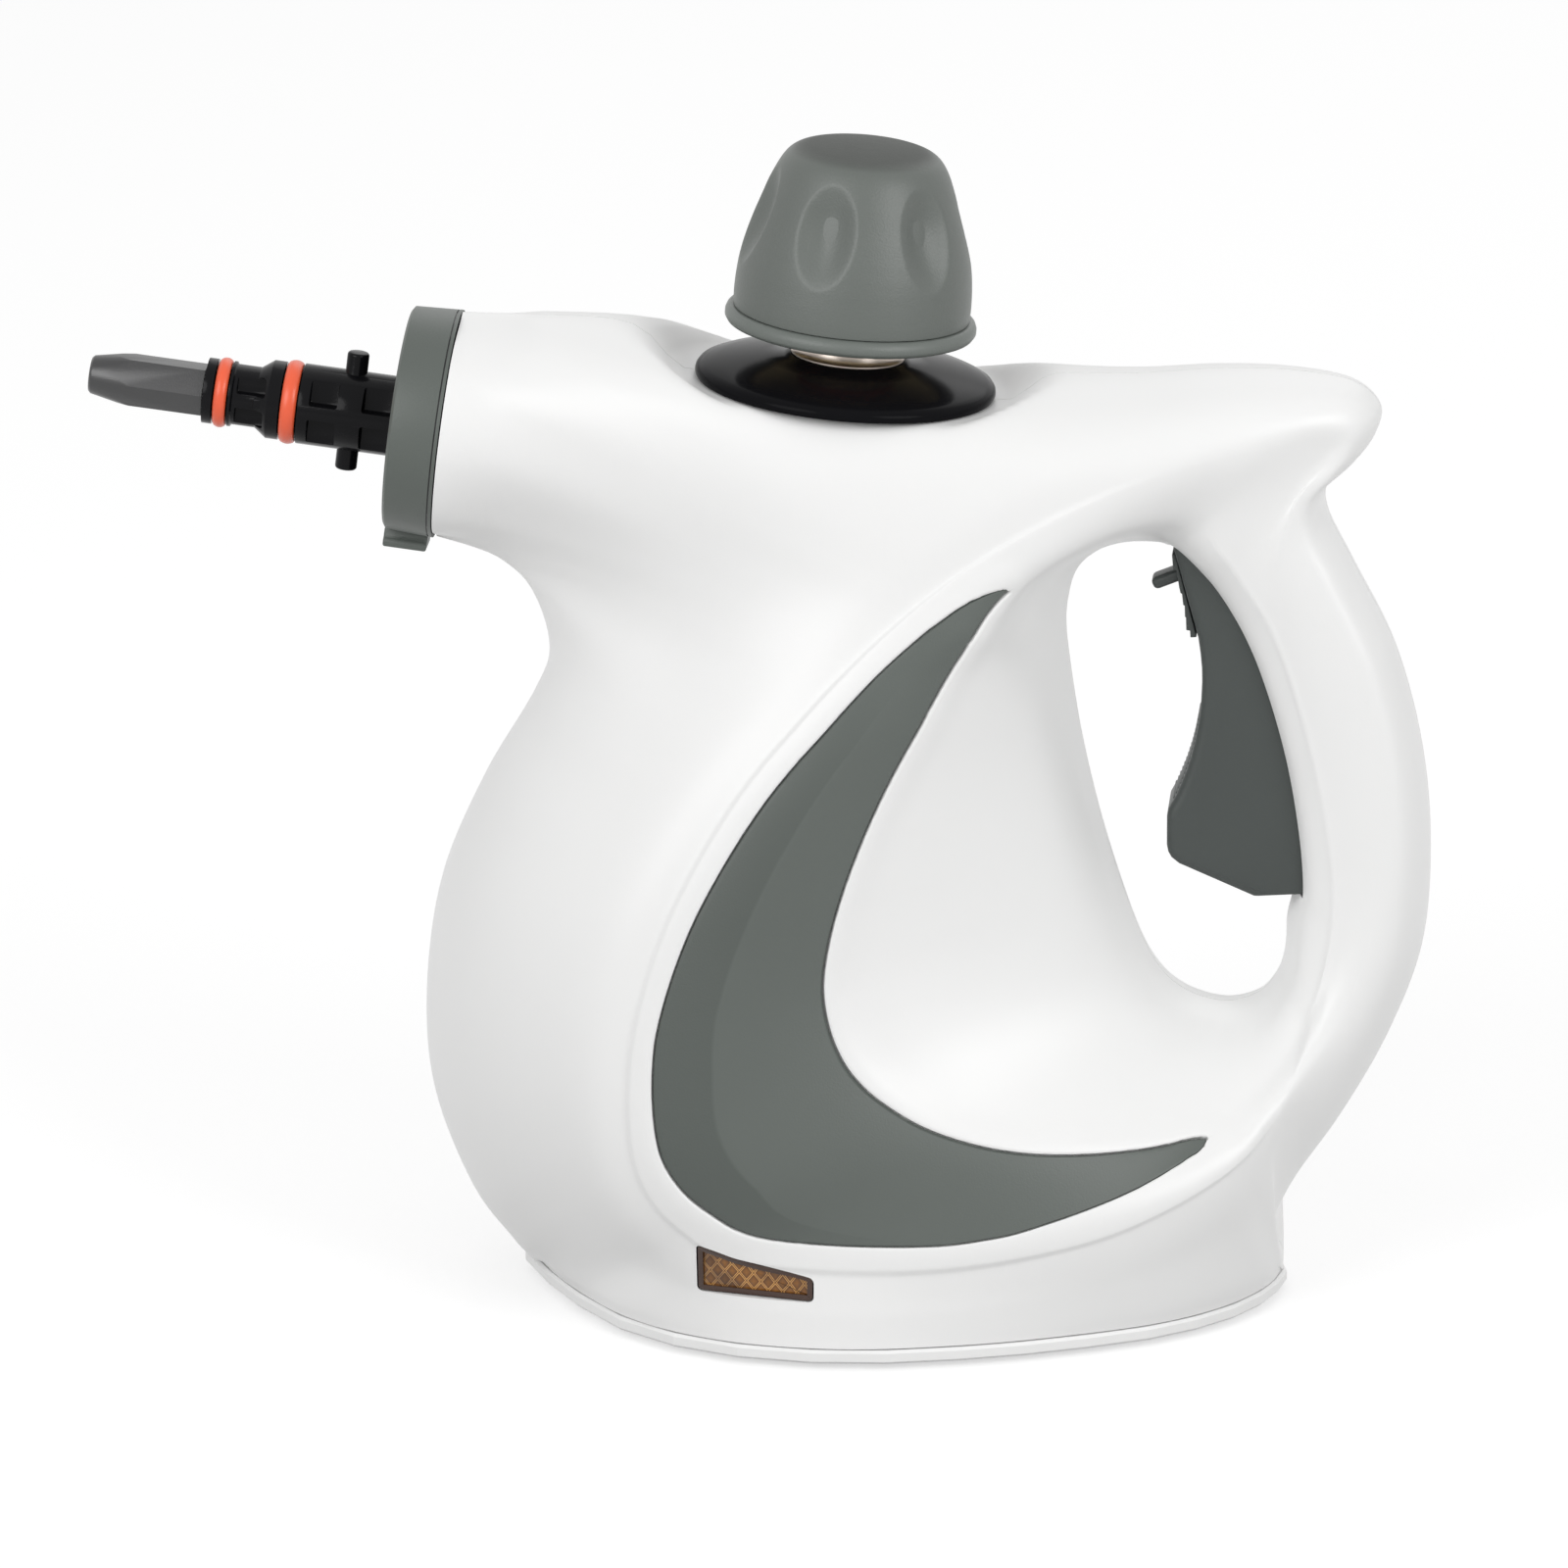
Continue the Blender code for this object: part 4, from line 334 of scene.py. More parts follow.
def crescent_edges(spoke, gap):
    """The inner and outer edges of the crescent, or of a recess that is wider all round by a gap."""
    rings = body_rings(spoke)
    width = np.linalg.norm(rings[3] - rings[2], axis=1)
    at, near_share, far_share = np.array(crescent_shares).T
    near_share, far_share = np.interp(spoke, at, near_share), np.interp(spoke, at, far_share)
    middle, half = panel_place + (near_share + far_share) / 2, (far_share - near_share) / 2 + gap / width
    for end, rounding, side in crescent_tips:
        inside = np.clip(side * (spoke - end) + rounding * gap / tip_pitch, 0, rounding) / rounding
        half = half * np.sqrt(np.maximum(1 - (1 - inside) ** 2, 0))
    return middle - half, middle + half


# The trigger's slot opens between two spokes of the hand opening; its mouth is found on the lip by Newton's steps
slot_ends, slot_half, mouth_line = (36.9, 47.9), 0.0090, 3
lowest, highest, probe, flattest = 0.02, 0.98, 0.01, 1e-4
base_spokes = np.arange(0, spokes, 0.125)
tips = [end + side * rounding * share for end, rounding, side in crescent_tips
        for share in (-0.15, 0.0, 0.04, 0.12, 0.25, 0.45, 0.7, 1.0)]
spoke = np.unique(np.round(np.concatenate([base_spokes, tips, slot_ends]), 5))
count = len(spoke)
rings = body_rings(spoke)
gaps = [np.linalg.norm(after - before, axis=1) for before, after in zip(rings, rings[1:])]
inner_edge, outer_edge = crescent_edges(spoke, hairline)
sloping = np.linspace(lowest, highest, 49)[:, None] * np.ones(count)
mouth = sloping[np.argmin(np.abs(skin(spoke, sloping)[..., 1] + slot_half), axis=0), np.arange(count)]
for _ in range(12):
    error = skin(spoke, mouth[None])[0][:, 1] + slot_half
    slope = (skin(spoke, mouth[None] + probe)[0][:, 1] - skin(spoke, mouth[None])[0][:, 1]) / probe
    mouth = np.clip(mouth - error / np.where(np.abs(slope) < flattest, -flattest, slope), lowest, highest)

# Lines of points round the body, from the hand opening's edge out to the outline, close together along edges
edge_steps = np.array([0.0, 0.00008, 0.0002, 0.0004, 0.0007, 0.0012, 0.0020, 0.0027, 0.0030, 0.0033, 0.0037,
                       0.0044])
crease_steps = np.array([0.0003, 0.0006, 0.0010, 0.0015, 0.0021, 0.0028, 0.0038, 0.0050])
inner_fine = fine_places(inner_edge, (lip_place - inner_edge) * 0.75, gaps[1], edge_steps[::-1])
lines = between(0.0, mouth, (0.0, 1 / 3, 2 / 3, 1.0))
lines += between(mouth, lip_place, (0.03, 0.08, 0.16, 0.3, 0.5, 0.75, 1.0))
lines += between(lip_place, inner_fine[0], np.linspace(0, 1, 20)[1:-1])
lines += inner_fine
recess_first = len(lines)
lines += between(inner_edge, outer_edge, (0.0, 0.02, *np.linspace(0.1, 0.9, 9), 0.98, 1.0))
recess = slice(recess_first, len(lines))
lines += fine_places(outer_edge, (crease_place - outer_edge) * 0.7, gaps[2], edge_steps[:8])
lines += between(lines[-1], crease_place, np.linspace(0, 1, 7)[1:])
lines += fine_places(crease_place, 0.8, gaps[3], crease_steps)
lines += between(lines[-1], outline_place, np.linspace(0, 1, 40)[1:])
place = np.array(lines)
surface = skin(spoke, place)
normal = facing(spoke, place)

# Heights over the plain surface: the crescent's soft lip and its recess, the crease and the grip's edge. Behind
# the collar the rings draw together, and the points there are eased.
lip_high, lip_flat, lip_fall, lip_dip, lip_round = 0.0005, 0.0012, 0.0060, 0.0004, 0.0005
recess_deep, crease_deep, crease_steep, crease_fade = 0.0013, 0.0006, 0.0018, 0.0100
grip_edge_high, grip_edge_spread = 0.0005, 0.0014
snout_fold, fold_reach, fold_fade, fold_passes = np.array([-0.0610, -0.0080, 0.2125]), 0.0150, 0.0090, 40
ends = np.linspace(crescent_start, crescent_end, 500)
rim = np.concatenate([skin(ends, edge[None])[0] for edge in crescent_edges(ends, hairline)])
tree_of_rim = KDTree(len(rim))
for number, point in enumerate(rim):
    tree_of_rim.insert(point, number)
tree_of_rim.balance()
off = np.array([tree_of_rim.find(point)[2] for point in surface.reshape(-1, 3)]).reshape(surface.shape[:2])
height = (lip_high * (1 - eased((off - lip_flat) / lip_fall))
          - lip_dip * np.clip(1 - off / lip_round, 0, 1) ** 2)
crescent_there = (spoke > crescent_start) & (spoke < crescent_end)
height[recess] = np.where(crescent_there[None], -recess_deep, height[recess])
fold = stretch(spoke, 0.5, 2.5, 30.0, 3.0)
past = np.clip(place - crease_place, 0, None) * gaps[3]
height -= fold * crease_deep * eased(past / crease_steep) * (1 - eased((past - crease_steep) / crease_fade))
grip = stretch(spoke, 33.5, 2.0, 45.5, 2.0)
from_panel = np.abs(place - panel_place) * np.where(place < panel_place, gaps[1], gaps[2])
height += grip * grip_edge_high * np.exp(-from_panel / grip_edge_spread)
outer = surface + height[..., None] * normal
easing = eased((fold_reach - np.linalg.norm(outer - snout_fold, axis=-1)) / fold_fade)[:, :, None]
easing[-1] = 0
for _ in range(fold_passes):
    beside = (np.roll(outer, 1, axis=1) + np.roll(outer, -1, axis=1) + np.roll(outer, 1, axis=0)
              + np.roll(outer, -1, axis=0)) / 4
    outer = outer + easing * (beside - outer)
outer[..., 1] = np.minimum(outer[..., 1], -seam)

inner_place = np.concatenate([place[:mouth_line + 1],
                              np.arange(lip_place, outline_place + 1)[:, None] * np.ones(count)])
inner_normal = facing(spoke, inner_place)
rim_normal = inner_normal[-1]
snout = (spoke >= corner_spokes[0]) & (spoke <= corner_spokes[1])
foot = (spoke >= corner_spokes[2]) & (spoke <= corner_spokes[3])
for chosen, direction in ((snout, nozzle_along), (foot, np.array([0.0, 0.0, 1.0])),
                          (~(snout | foot) | np.isin(spoke, corner_spokes), near_side)):
    flat = rim_normal[chosen] - (rim_normal[chosen] @ direction)[:, None] * direction
    rim_normal[chosen] = flat / np.linalg.norm(flat, axis=-1, keepdims=True)
mouth_normal = inner_normal[:mouth_line + 1] * np.array([1.0, 0.0, 1.0])
inner_normal[:mouth_line + 1] = mouth_normal / np.linalg.norm(mouth_normal, axis=-1, keepdims=True)
inner = skin(spoke, inner_place) - wall * inner_normal
inner[..., 1] = np.minimum(inner[..., 1], -seam)

slotted = (spoke >= slot_ends[0]) & (spoke < slot_ends[1])
faces = []


def strip(first_line, second_line, chosen):
    """Quads between two lines of points round the body, on the chosen spokes."""
    for here in np.flatnonzero(chosen):
        after = (here + 1) % count
        faces.append((first_line * count + here, second_line * count + here,
                      second_line * count + after, first_line * count + after))


everywhere = np.ones(count, bool)
total = len(outer)
for line in range(total - 1):
    strip(line, line + 1, ~slotted if line < mouth_line else everywhere)
for line in range(len(inner) - 1):
    strip(total + line + 1, total + line, ~slotted if line < mouth_line else everywhere)
strip(total - 1, total + len(inner) - 1, everywhere)
strip(total, 0, ~slotted)
strip(total + mouth_line, mouth_line, slotted)
for end in slot_ends:
    here = int(np.flatnonzero(spoke == end)[0])
    for line in range(mouth_line):
        corners = [line * count + here, (line + 1) * count + here,
                   (total + line + 1) * count + here, (total + line) * count + here]
        faces.append(corners if end == slot_ends[1] else corners[::-1])


def satin_plastic(name, colour, roughness, grain, grain_size, sheen_spread=0.05, tone=0.03, specular=0.5):
    """Moulded plastic: a fine spark-eroded grain, a slightly uneven gloss and a faint drift of tone."""
    material = bpy.data.materials.new(name)
    material.use_nodes = True
    tree = material.node_tree
    shader = tree.nodes["Principled BSDF"]
    shader.inputs["IOR"].default_value = 1.48
    shader.inputs["Specular IOR Level"].default_value = specular
    spot = tree.nodes.new("ShaderNodeTexCoord").outputs["Object"]
    fine = wired(tree, "ShaderNodeTexNoise", {"Vector": spot, "Scale": 1 / grain_size, "Detail": 2.0})
    broad = wired(tree, "ShaderNodeTexNoise", {"Vector": spot, "Scale": 28.0, "Detail": 3.0})
    bump = wired(tree, "ShaderNodeBump", {"Strength": grain, "Distance": grain_size * 0.3, "Height": fine})
    gloss = wired(tree, "ShaderNodeMapRange",
                  {"To Min": roughness - sheen_spread, "To Max": roughness + sheen_spread, "Value": broad})
    low = (*(part * (1 - tone) for part in colour), 1.0)
    high = (*(min(part * (1 + tone), 1.0) for part in colour), 1.0)
    shade = wired(tree, "ShaderNodeMix", {"Factor": broad, 6: low, 7: high}, output=2, data_type="RGBA")
    for socket, output in (("Normal", bump), ("Roughness", gloss), ("Base Color", shade)):
        tree.links.new(output, shader.inputs[socket])
    return material


def overlaid(material, factor, colour, blend="MIX"):
    """Lays a colour over the material's own where the factor is 1."""
    tree = material.node_tree
    base = tree.nodes["Principled BSDF"].inputs["Base Color"]
    laid = wired(tree, "ShaderNodeMix", {"Factor": factor, 6: base.links[0].from_socket, 7: (*colour, 1.0)},
                 output=2, data_type="RGBA", blend_type=blend)
    tree.links.new(laid, base)


def choose(piece):
    """Makes the piece the only selected one."""
    bpy.ops.object.select_all(action="DESELECT")
    piece.select_set(True)
    bpy.context.view_layer.objects.active = piece


def edit(piece, select="SELECT"):
    """Opens the piece in edit mode, with all of it selected or, on DESELECT, none."""
    choose(piece)
    bpy.ops.object.mode_set(mode="EDIT")
    bpy.ops.mesh.select_all(action=select)


def face_outward(piece, weld=0.0):
    """Turns the piece's faces outward, after points closer than the given distance are welded."""
    edit(piece)
    if weld:
        bpy.ops.mesh.remove_doubles(threshold=weld)
    bpy.ops.mesh.normals_make_consistent(inside=False)
    bpy.ops.object.mode_set(mode="OBJECT")


def surface_of(name, points, faces, weld=0.0):
    """A piece with the given points and faces."""
    mesh = bpy.data.meshes.new(name)
    mesh.from_pydata(points.reshape(-1, 3).tolist(), [], faces)
    piece = bpy.data.objects.new(name, mesh)
    bpy.context.scene.collection.objects.link(piece)
    face_outward(piece, weld)
    return piece


def smooth(piece, angle=35):
    """Shades the piece smooth, with the edges sharper than the angle left sharp."""
    choose(piece)
    bpy.ops.object.shade_smooth_by_angle(angle=math.radians(angle))


def bevel(piece, width, segments=3, limit="ANGLE", angle=30):
    """Rounds the piece's edges."""
    choose(piece)
    step = piece.modifiers.new("rounded", "BEVEL")
    step.width, step.segments, step.limit_method = width, segments, limit
    step.angle_limit = math.radians(angle)
    bpy.ops.object.modifier_apply(modifier=step.name)


def placed(middle, axis):
    """The frame of a turned piece: its Z on the axis, its Y on the world's."""
    across = np.cross((0.0, 1.0, 0.0), axis)
    return Matrix([(across[row], float(row == 1), axis[row], middle[row]) for row in range(3)] + [(0, 0, 0, 1)])


def made(name):
    """The piece that was just added, with its place given to its points."""
    piece = bpy.context.object
    piece.name = name
    bpy.ops.object.transform_apply(location=True, rotation=True, scale=True)
    return piece


def set_on(piece, place_frame):
    """Puts a piece modelled at the origin in its place, with its object left at the origin."""
    choose(piece)
    piece.matrix_world = place_frame @ piece.matrix_world
    bpy.ops.object.transform_apply(location=True, rotation=True, scale=True)


def combine(piece, tool, operation="DIFFERENCE"):
    """Takes the tool away from the piece, or joins or intersects the two, and drops the tool."""
    choose(piece)
    step = piece.modifiers.new(operation, "BOOLEAN")
    step.operation, step.object, step.solver = operation, tool, "EXACT"
    bpy.ops.object.modifier_apply(modifier=step.name)
    bpy.data.objects.remove(tool, do_unlink=True)


def plate_of(name, corners, travel):
    """A flat face through the given corners, drawn out along a vector."""
    bpy.ops.mesh.primitive_circle_add(vertices=len(corners), radius=0.01, fill_type="NGON")
    plate = made(name)
    for vertex, corner in zip(plate.data.vertices, corners):
        vertex.co = corner
    edit(plate)
    bpy.ops.mesh.extrude_region_move(TRANSFORM_OT_translate={"value": travel})
    bpy.ops.object.mode_set(mode="OBJECT")
    face_outward(plate)
    return plate


def block(name, size, middle=(0.0, 0.0, 0.0)):
    """A box."""
    bpy.ops.mesh.primitive_cube_add(size=1.0, location=middle)
    bpy.context.object.scale = size
    return made(name)


def rod(name, sides, radius, depth, middle=(0.0, 0.0, 0.0), turn=(0.0, 0.0, 0.0)):
    """A round or many-sided rod along Z, or along the axis that the turn gives it."""
    bpy.ops.mesh.primitive_cylinder_add(vertices=sides, radius=radius, depth=depth, location=middle, rotation=turn)
    return made(name)


def weigh_edges(piece, weight):
    """Gives each edge the weight that its two ends are worth, for a bevel by weight."""
    weights = piece.data.attributes.new("bevel_weight_edge", "FLOAT", "EDGE")
    for line in piece.data.edges:
        weights.data[line.index].value = weight(*(piece.data.vertices[number].co for number in line.vertices))


def done(piece, material, body, *cad_nodes, at=None, angle=35, slot=None):
    """A piece's place, its finish, the body that it rides on and the CAD nodes that it stands for."""
    if at is not None:
        set_on(piece, at)
    piece.data.materials.append(material)
    smooth(piece, angle)
    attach(piece, body)
    if cad_nodes:
        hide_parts(*cad_nodes)


white_plastic = satin_plastic("white_plastic", (0.84, 0.84, 0.835), 0.36, 0.10, 0.00035, tone=0.01)
halves = []
for name, side in (("near_half", 1.0), ("far_half", -1.0)):
    points = np.concatenate([outer.reshape(-1, 3), inner.reshape(-1, 3)]) * np.array([1.0, side, 1.0])
    turned_faces = faces if side > 0 else [face[::-1] for face in faces]
    halves.append(surface_of(name, points, turned_faces, weld=0.000005))
near_half, far_half = halves

# Holes through the shell: for the filler neck, for the cord's gland, for the screws of the far side and for the
# lamp window
gland_middle = np.array([0.769 * reach, 0.0, 0.093 * arm_top])
for name, radius, depth, middle, axis in (
        ("neck_hole", 0.0113, 0.030, disc_middle, disc_axis),
        ("gland_hole", 0.0060, 0.032, gland_middle, np.array([1.0, 0.0, 0.0]))):
    for half in halves:
        cutter = rod(name, 64, radius, depth)
        set_on(cutter, placed(middle, axis))
        combine(half, cutter)
screw_count, well_radius, well_cut, under_head = 5, 0.0035, 0.020, 0.0021
wells = []
for number in range(1, screw_count + 1):
    screw = nodes[f"side_screw_{number}"]
    corners = np.array([screw.matrix_world @ Vector(corner) for corner in screw.bound_box])
    across, _, up = (corners.min(axis=0) + corners.max(axis=0)) / 2
    seat = corners.max(axis=0)[1] - under_head
    well_frame = Matrix.Translation((across, 0.0, up)) @ Matrix.Rotation(math.radians(-90), 4, "X")
    wells.append((well_frame, seat))
    cutter = rod("screw_hole", 64, well_radius, well_cut, (0.0, 0.0, seat + well_cut / 2))
    set_on(cutter, well_frame)
    combine(far_half, cutter)
window_corners = ((-0.0615, 0.1255), (-0.0300, 0.1190), (-0.0050, 0.1125), (0.0340, 0.1057), (0.0830, 0.0997),
                  (0.1091, 0.0950), (0.1092, 0.0702), (-0.0613, 0.0740))
window = np.array([(x * reach, z * arm_top) for x, z in window_corners])


def window_plate(name, grow, corner_radius, front, back):
    """A plate in the shape of the lamp window, between two distances from the middle plane."""
    away = np.sign(window - window.mean(axis=0))
    order = [0, *range(len(window) - 1, 0, -1)]
    corners = [(x, -front, z) for x, z in (window + grow * away)[order]]
    plate = plate_of(name, corners, (0.0, front - back, 0.0))
    weigh_edges(plate, lambda one, two: float(abs(one.y - two.y) > 0.001))
    bevel(plate, corner_radius, 4, "WEIGHT")
    return plate


window_front = 0.066
combine(near_half, window_plate("window_hole", hairline, 0.0011, window_front, 0.048))
done(near_half, white_plastic, "body", "housing_left", "grip_left", angle=40)
done(far_half, white_plastic, "body", "housing_right", "grip_right", angle=40)

# Crescent trims
# One crescent of grey-green satin plastic on each side, clipped flush into its recess with a hairline gap all
# round. A soft crease runs along it near the outer edge, with the field beyond it painted darker as shade, and its
# rim is broken by a narrow bevel.
ridge_high, trim_thick, rim_deep, rim_wide = 0.0019, 0.0010, 0.0005, 0.0006
grey_plastic = satin_plastic("grey_plastic", (0.094, 0.107, 0.097), 0.42, 0.30, 0.00045, tone=0.05)
trim_spokes = np.unique(np.concatenate(
    [np.linspace(crescent_start + 0.001, crescent_end - 0.001, 150)]
    + [end + side * rounding * np.array([0.004, 0.02, 0.06, 0.12, 0.2, 0.3, 0.45, 0.6, 0.8, 1.0])
       for end, rounding, side in crescent_tips]))
near_edge, far_edge = crescent_edges(trim_spokes, 0.0)
crease_at = 1 - np.interp(trim_spokes, (11.5, 16, 19, 22, 24, 25.5), (0.42, 0.41, 0.38, 0.28, 0.17, 0.05))
half_steps = np.concatenate([[0.0, 0.024, 0.06, 0.12], np.linspace(0.2, 1.0, 15)])[:, None]
trim_shares = np.concatenate([half_steps * crease_at, 1 - half_steps[-2::-1] * (1 - crease_at)])
trim_place = near_edge + (far_edge - near_edge) * trim_shares
trim_surface, trim_normal = skin(trim_spokes, trim_place), facing(trim_spokes, trim_place)
span = np.linalg.norm(trim_surface[-1] - trim_surface[0], axis=1)
from_edge = np.minimum(trim_shares, 1 - trim_shares) * span
crease_high = ridge_high * stretch(trim_spokes, 9.5, 5.5, 21.0, 5.0)
ridge = crease_high * np.minimum(trim_shares / crease_at, (1 - trim_shares) / (1 - crease_at))
lift = ridge - rim_deep * np.clip(1 - from_edge / rim_wide, 0, 1) ** 2
trim_plastic = satin_plastic("trim_plastic", (0.104, 0.118, 0.108), 0.42, 0.30, 0.00045, tone=0.05)
# The field beyond the crease is multiplied darker, as painted shade where that side turns away from the light.
painted_outer_shade = wired(trim_plastic.node_tree, "ShaderNodeAttribute", {}, output="Fac", attribute_name="outer_shade_field")
overlaid(trim_plastic, painted_outer_shade, (0.78, 0.79, 0.785), "MULTIPLY")
outer_shade_field = crease_high / ridge_high * (trim_shares > crease_at + 0.0001)
grid = np.arange(trim_place.size).reshape(trim_place.shape)
quads = []
for quad in np.stack([grid[:-1, :-1], grid[1:, :-1], grid[1:, 1:], grid[:-1, 1:]], axis=-1).reshape(-1, 4).tolist():
    quads += [quad, [corner + grid.size for corner in quad[::-1]]]
border = np.concatenate([grid[0], grid[1:, -1], grid[-1, -2::-1], grid[-2:0:-1, 0]]).tolist()
for one, two in zip(border, border[1:] + border[:1]):
    quads.append([one, two, two + grid.size, one + grid.size])
for name, side, node in (("near_trim", 1.0, "trim_left"), ("far_trim", -1.0, "trim_right")):
    flip = np.array([1.0, side, 1.0])
    top = (trim_surface + lift[..., None] * trim_normal) * flip
    under = (trim_surface - trim_thick * trim_normal) * flip
    trim = surface_of(name, np.stack([top, under]), quads)
    marks = trim.data.attributes.new("outer_shade_field", "FLOAT", "POINT")
    marks.data.foreach_set("value", np.tile(outer_shade_field.ravel(), 2))
    done(trim, trim_plastic, "body", node, angle=30, slot="grey_plastic")

# Lamp window
# An amber lens with a raised dark frame round it and a lattice of moulded ribs that cross on its face, set flush
# in the near side over the lamp.
amber = bpy.data.materials.new("amber_lens")
amber.use_nodes = True
tree = amber.node_tree
shader = tree.nodes["Principled BSDF"]
shader.inputs["Roughness"].default_value = 0.16
shader.inputs["IOR"].default_value = 1.5
spot = tree.nodes.new("ShaderNodeTexCoord").outputs["Object"]
rib_turn, half_cell = 38.0, 0.00122
cells = []
for turn in (rib_turn, -rib_turn):
    turned_spot = wired(tree, "ShaderNodeMapping", {"Vector": spot, "Rotation": (0.0, math.radians(turn), 0.0)})
    sideways = wired(tree, "ShaderNodeSeparateXYZ", {"Vector": turned_spot})
    cells.append(wired(tree, "ShaderNodeMath", {0: sideways, 1: half_cell}, operation="PINGPONG"))
from_rib = wired(tree, "ShaderNodeMath", {0: cells[0], 1: cells[1]}, operation="MINIMUM")
width = wired(tree, "ShaderNodeMapRange", {"Value": from_rib, "From Max": half_cell})
# The lattice's colours paint light and shade: a painted highlight along each rib, a painted shadow beside it, and
# the cells painted darker towards the ribs.
groove, rib_highlight, rib_edge = (0.11, 0.038, 0.008), (0.80, 0.42, 0.12), (0.62, 0.30, 0.075)
shadow, cell_edge, cell_middle = (0.085, 0.030, 0.008), (0.20, 0.075, 0.010), (0.30, 0.115, 0.012)
lattice = tree.nodes.new("ShaderNodeValToRGB")
tree.links.new(width, lattice.inputs["Fac"])
stops = lattice.color_ramp.elements
stops[0].position, stops[0].color = 0.0, (*groove, 1.0)
stops[1].position, stops[1].color = 1.0, (*cell_middle, 1.0)
for at, colour in ((0.05, groove), (0.09, rib_highlight), (0.19, rib_edge), (0.25, shadow), (0.42, cell_edge)):
    stops.new(at).color = (*colour, 1.0)
cloud = wired(tree, "ShaderNodeTexNoise", {"Vector": spot, "Scale": 120.0})
patches = wired(tree, "ShaderNodeMapRange", {"Value": cloud, "From Min": 0.44, "From Max": 0.60})
tree.links.new(lattice.outputs["Color"], shader.inputs["Base Color"])
overlaid(amber, patches, (0.50, 0.50, 0.62), "MULTIPLY")
relief = wired(tree, "ShaderNodeBump", {"Height": width, "Strength": 0.35, "Distance": 0.0003})
tree.links.new(relief, shader.inputs["Normal"])
dark_amber = satin_plastic("dark_amber", (0.052, 0.026, 0.018), 0.22, 0.05, 0.0003)
lens_back, lens_frame, lens_sunk, lens_proud, beside_skin = 0.050, 0.0011, 0.0005, 0.0002, -0.058
lens = window_plate("lens", 0.0, 0.0010, window_front, lens_back)
lens.data.materials.append(amber)
lens.data.materials.append(dark_amber)
edit(lens, "DESELECT")
bpy.ops.object.mode_set(mode="OBJECT")
min(lens.data.polygons, key=lambda polygon: polygon.center.y).select = True
bpy.ops.object.mode_set(mode="EDIT")
bpy.ops.mesh.select_mode(type="FACE")
bpy.ops.mesh.inset(thickness=lens_frame)
bpy.ops.mesh.select_all(action="INVERT")
lens.active_material_index = 1
bpy.ops.object.material_slot_assign()
bpy.ops.mesh.select_all(action="INVERT")
bpy.ops.mesh.extrude_region_move(TRANSFORM_OT_translate={"value": (0.0, lens_sunk, 0.0)})
bpy.ops.object.mode_set(mode="OBJECT")
skin_points = BVHTree.FromPolygons([tuple(point) for point in outer.reshape(-1, 3)],
                                   [face for face in faces if max(face) < total * count])
for vertex in lens.data.vertices:
    hit = skin_points.ray_cast(Vector((vertex.co.x, -0.1, vertex.co.z)), Vector((0.0, 1.0, 0.0)))[0]
    vertex.co.y += window_front + (hit.y + lens_proud if hit else beside_skin)
bevel(lens, 0.0002, 2)
smooth(lens)
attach(lens, "body")
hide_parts("lamp_lens")


def finish_node(node, material):
    """Gives a carried-over CAD node its material."""
    nodes[node].data.materials.clear()
    nodes[node].data.materials.append(material)


finish_node("lamp", satin_plastic("lamp_glow", (0.83, 0.12, 0.05), 0.3, 0.1, 0.0004))

# Base plate, feet and screws
# A white moulded plate closes the bottom, a hair wider than the body so that its edge shows as a thin rim. Four
# black rubber feet are pressed into it, and steel screws hold it to the boiler's cradle.
finish_node("base_plate", white_plastic)
rubber = satin_plastic("black_rubber", (0.020, 0.020, 0.020), 0.75, 0.45, 0.0006, tone=0.15)
for number in range(1, 5):
    finish_node(f"foot_{number}", rubber)


def turned_metal(name, colour, roughness, scratch_size, scratch=0.12):
    """Bare metal with fine machining marks, an uneven gloss and a slight drift of tone."""
    material = satin_plastic(name, colour, roughness, scratch, scratch_size, 0.08, 0.06)
    material.node_tree.nodes["Principled BSDF"].inputs["Metallic"].default_value = 1.0
    return material


steel = turned_metal("steel", (0.56, 0.55, 0.53), 0.32, 0.0005)
brass = turned_metal("brass", (0.62, 0.48, 0.24), 0.34, 0.0005)
for number in range(1, 5):
    finish_node(f"base_screw_{number}", steel)

# Boiler and what serves it
# A drawn steel boiler stands on a cast heater plate in a cream cradle under the filler neck. A thermostat, a
# thermal fuse and a terminal block sit beside it, and brass pipes lead to the valve and on to the nozzle.
cream = satin_plastic("cream_plastic", (0.62, 0.58, 0.48), 0.5, 0.25, 0.0005, tone=0.06)
for node, material in (
        ("boiler", steel), ("heater_plate", turned_metal("aluminium", (0.60, 0.61, 0.62), 0.5, 0.0009, 0.4)),
        ("boiler_cradle", cream), ("thermostat", cream), ("thermal_fuse", steel), ("terminal_block", cream),
        ("feed_pipe", brass), ("steam_pipe", brass), ("valve_body", brass), ("valve_stem", steel),
        ("trigger_pin", steel), ("trigger_spring", steel)):
    finish_node(node, material)
satin_black = satin_plastic("satin_black", (0.020, 0.020, 0.021), 0.33, 0.14, 0.0004, tone=0.12)
finish_node("inlet_gland", satin_black)
for number in range(1, screw_count + 1):
    finish_node(f"side_screw_{number}", steel)


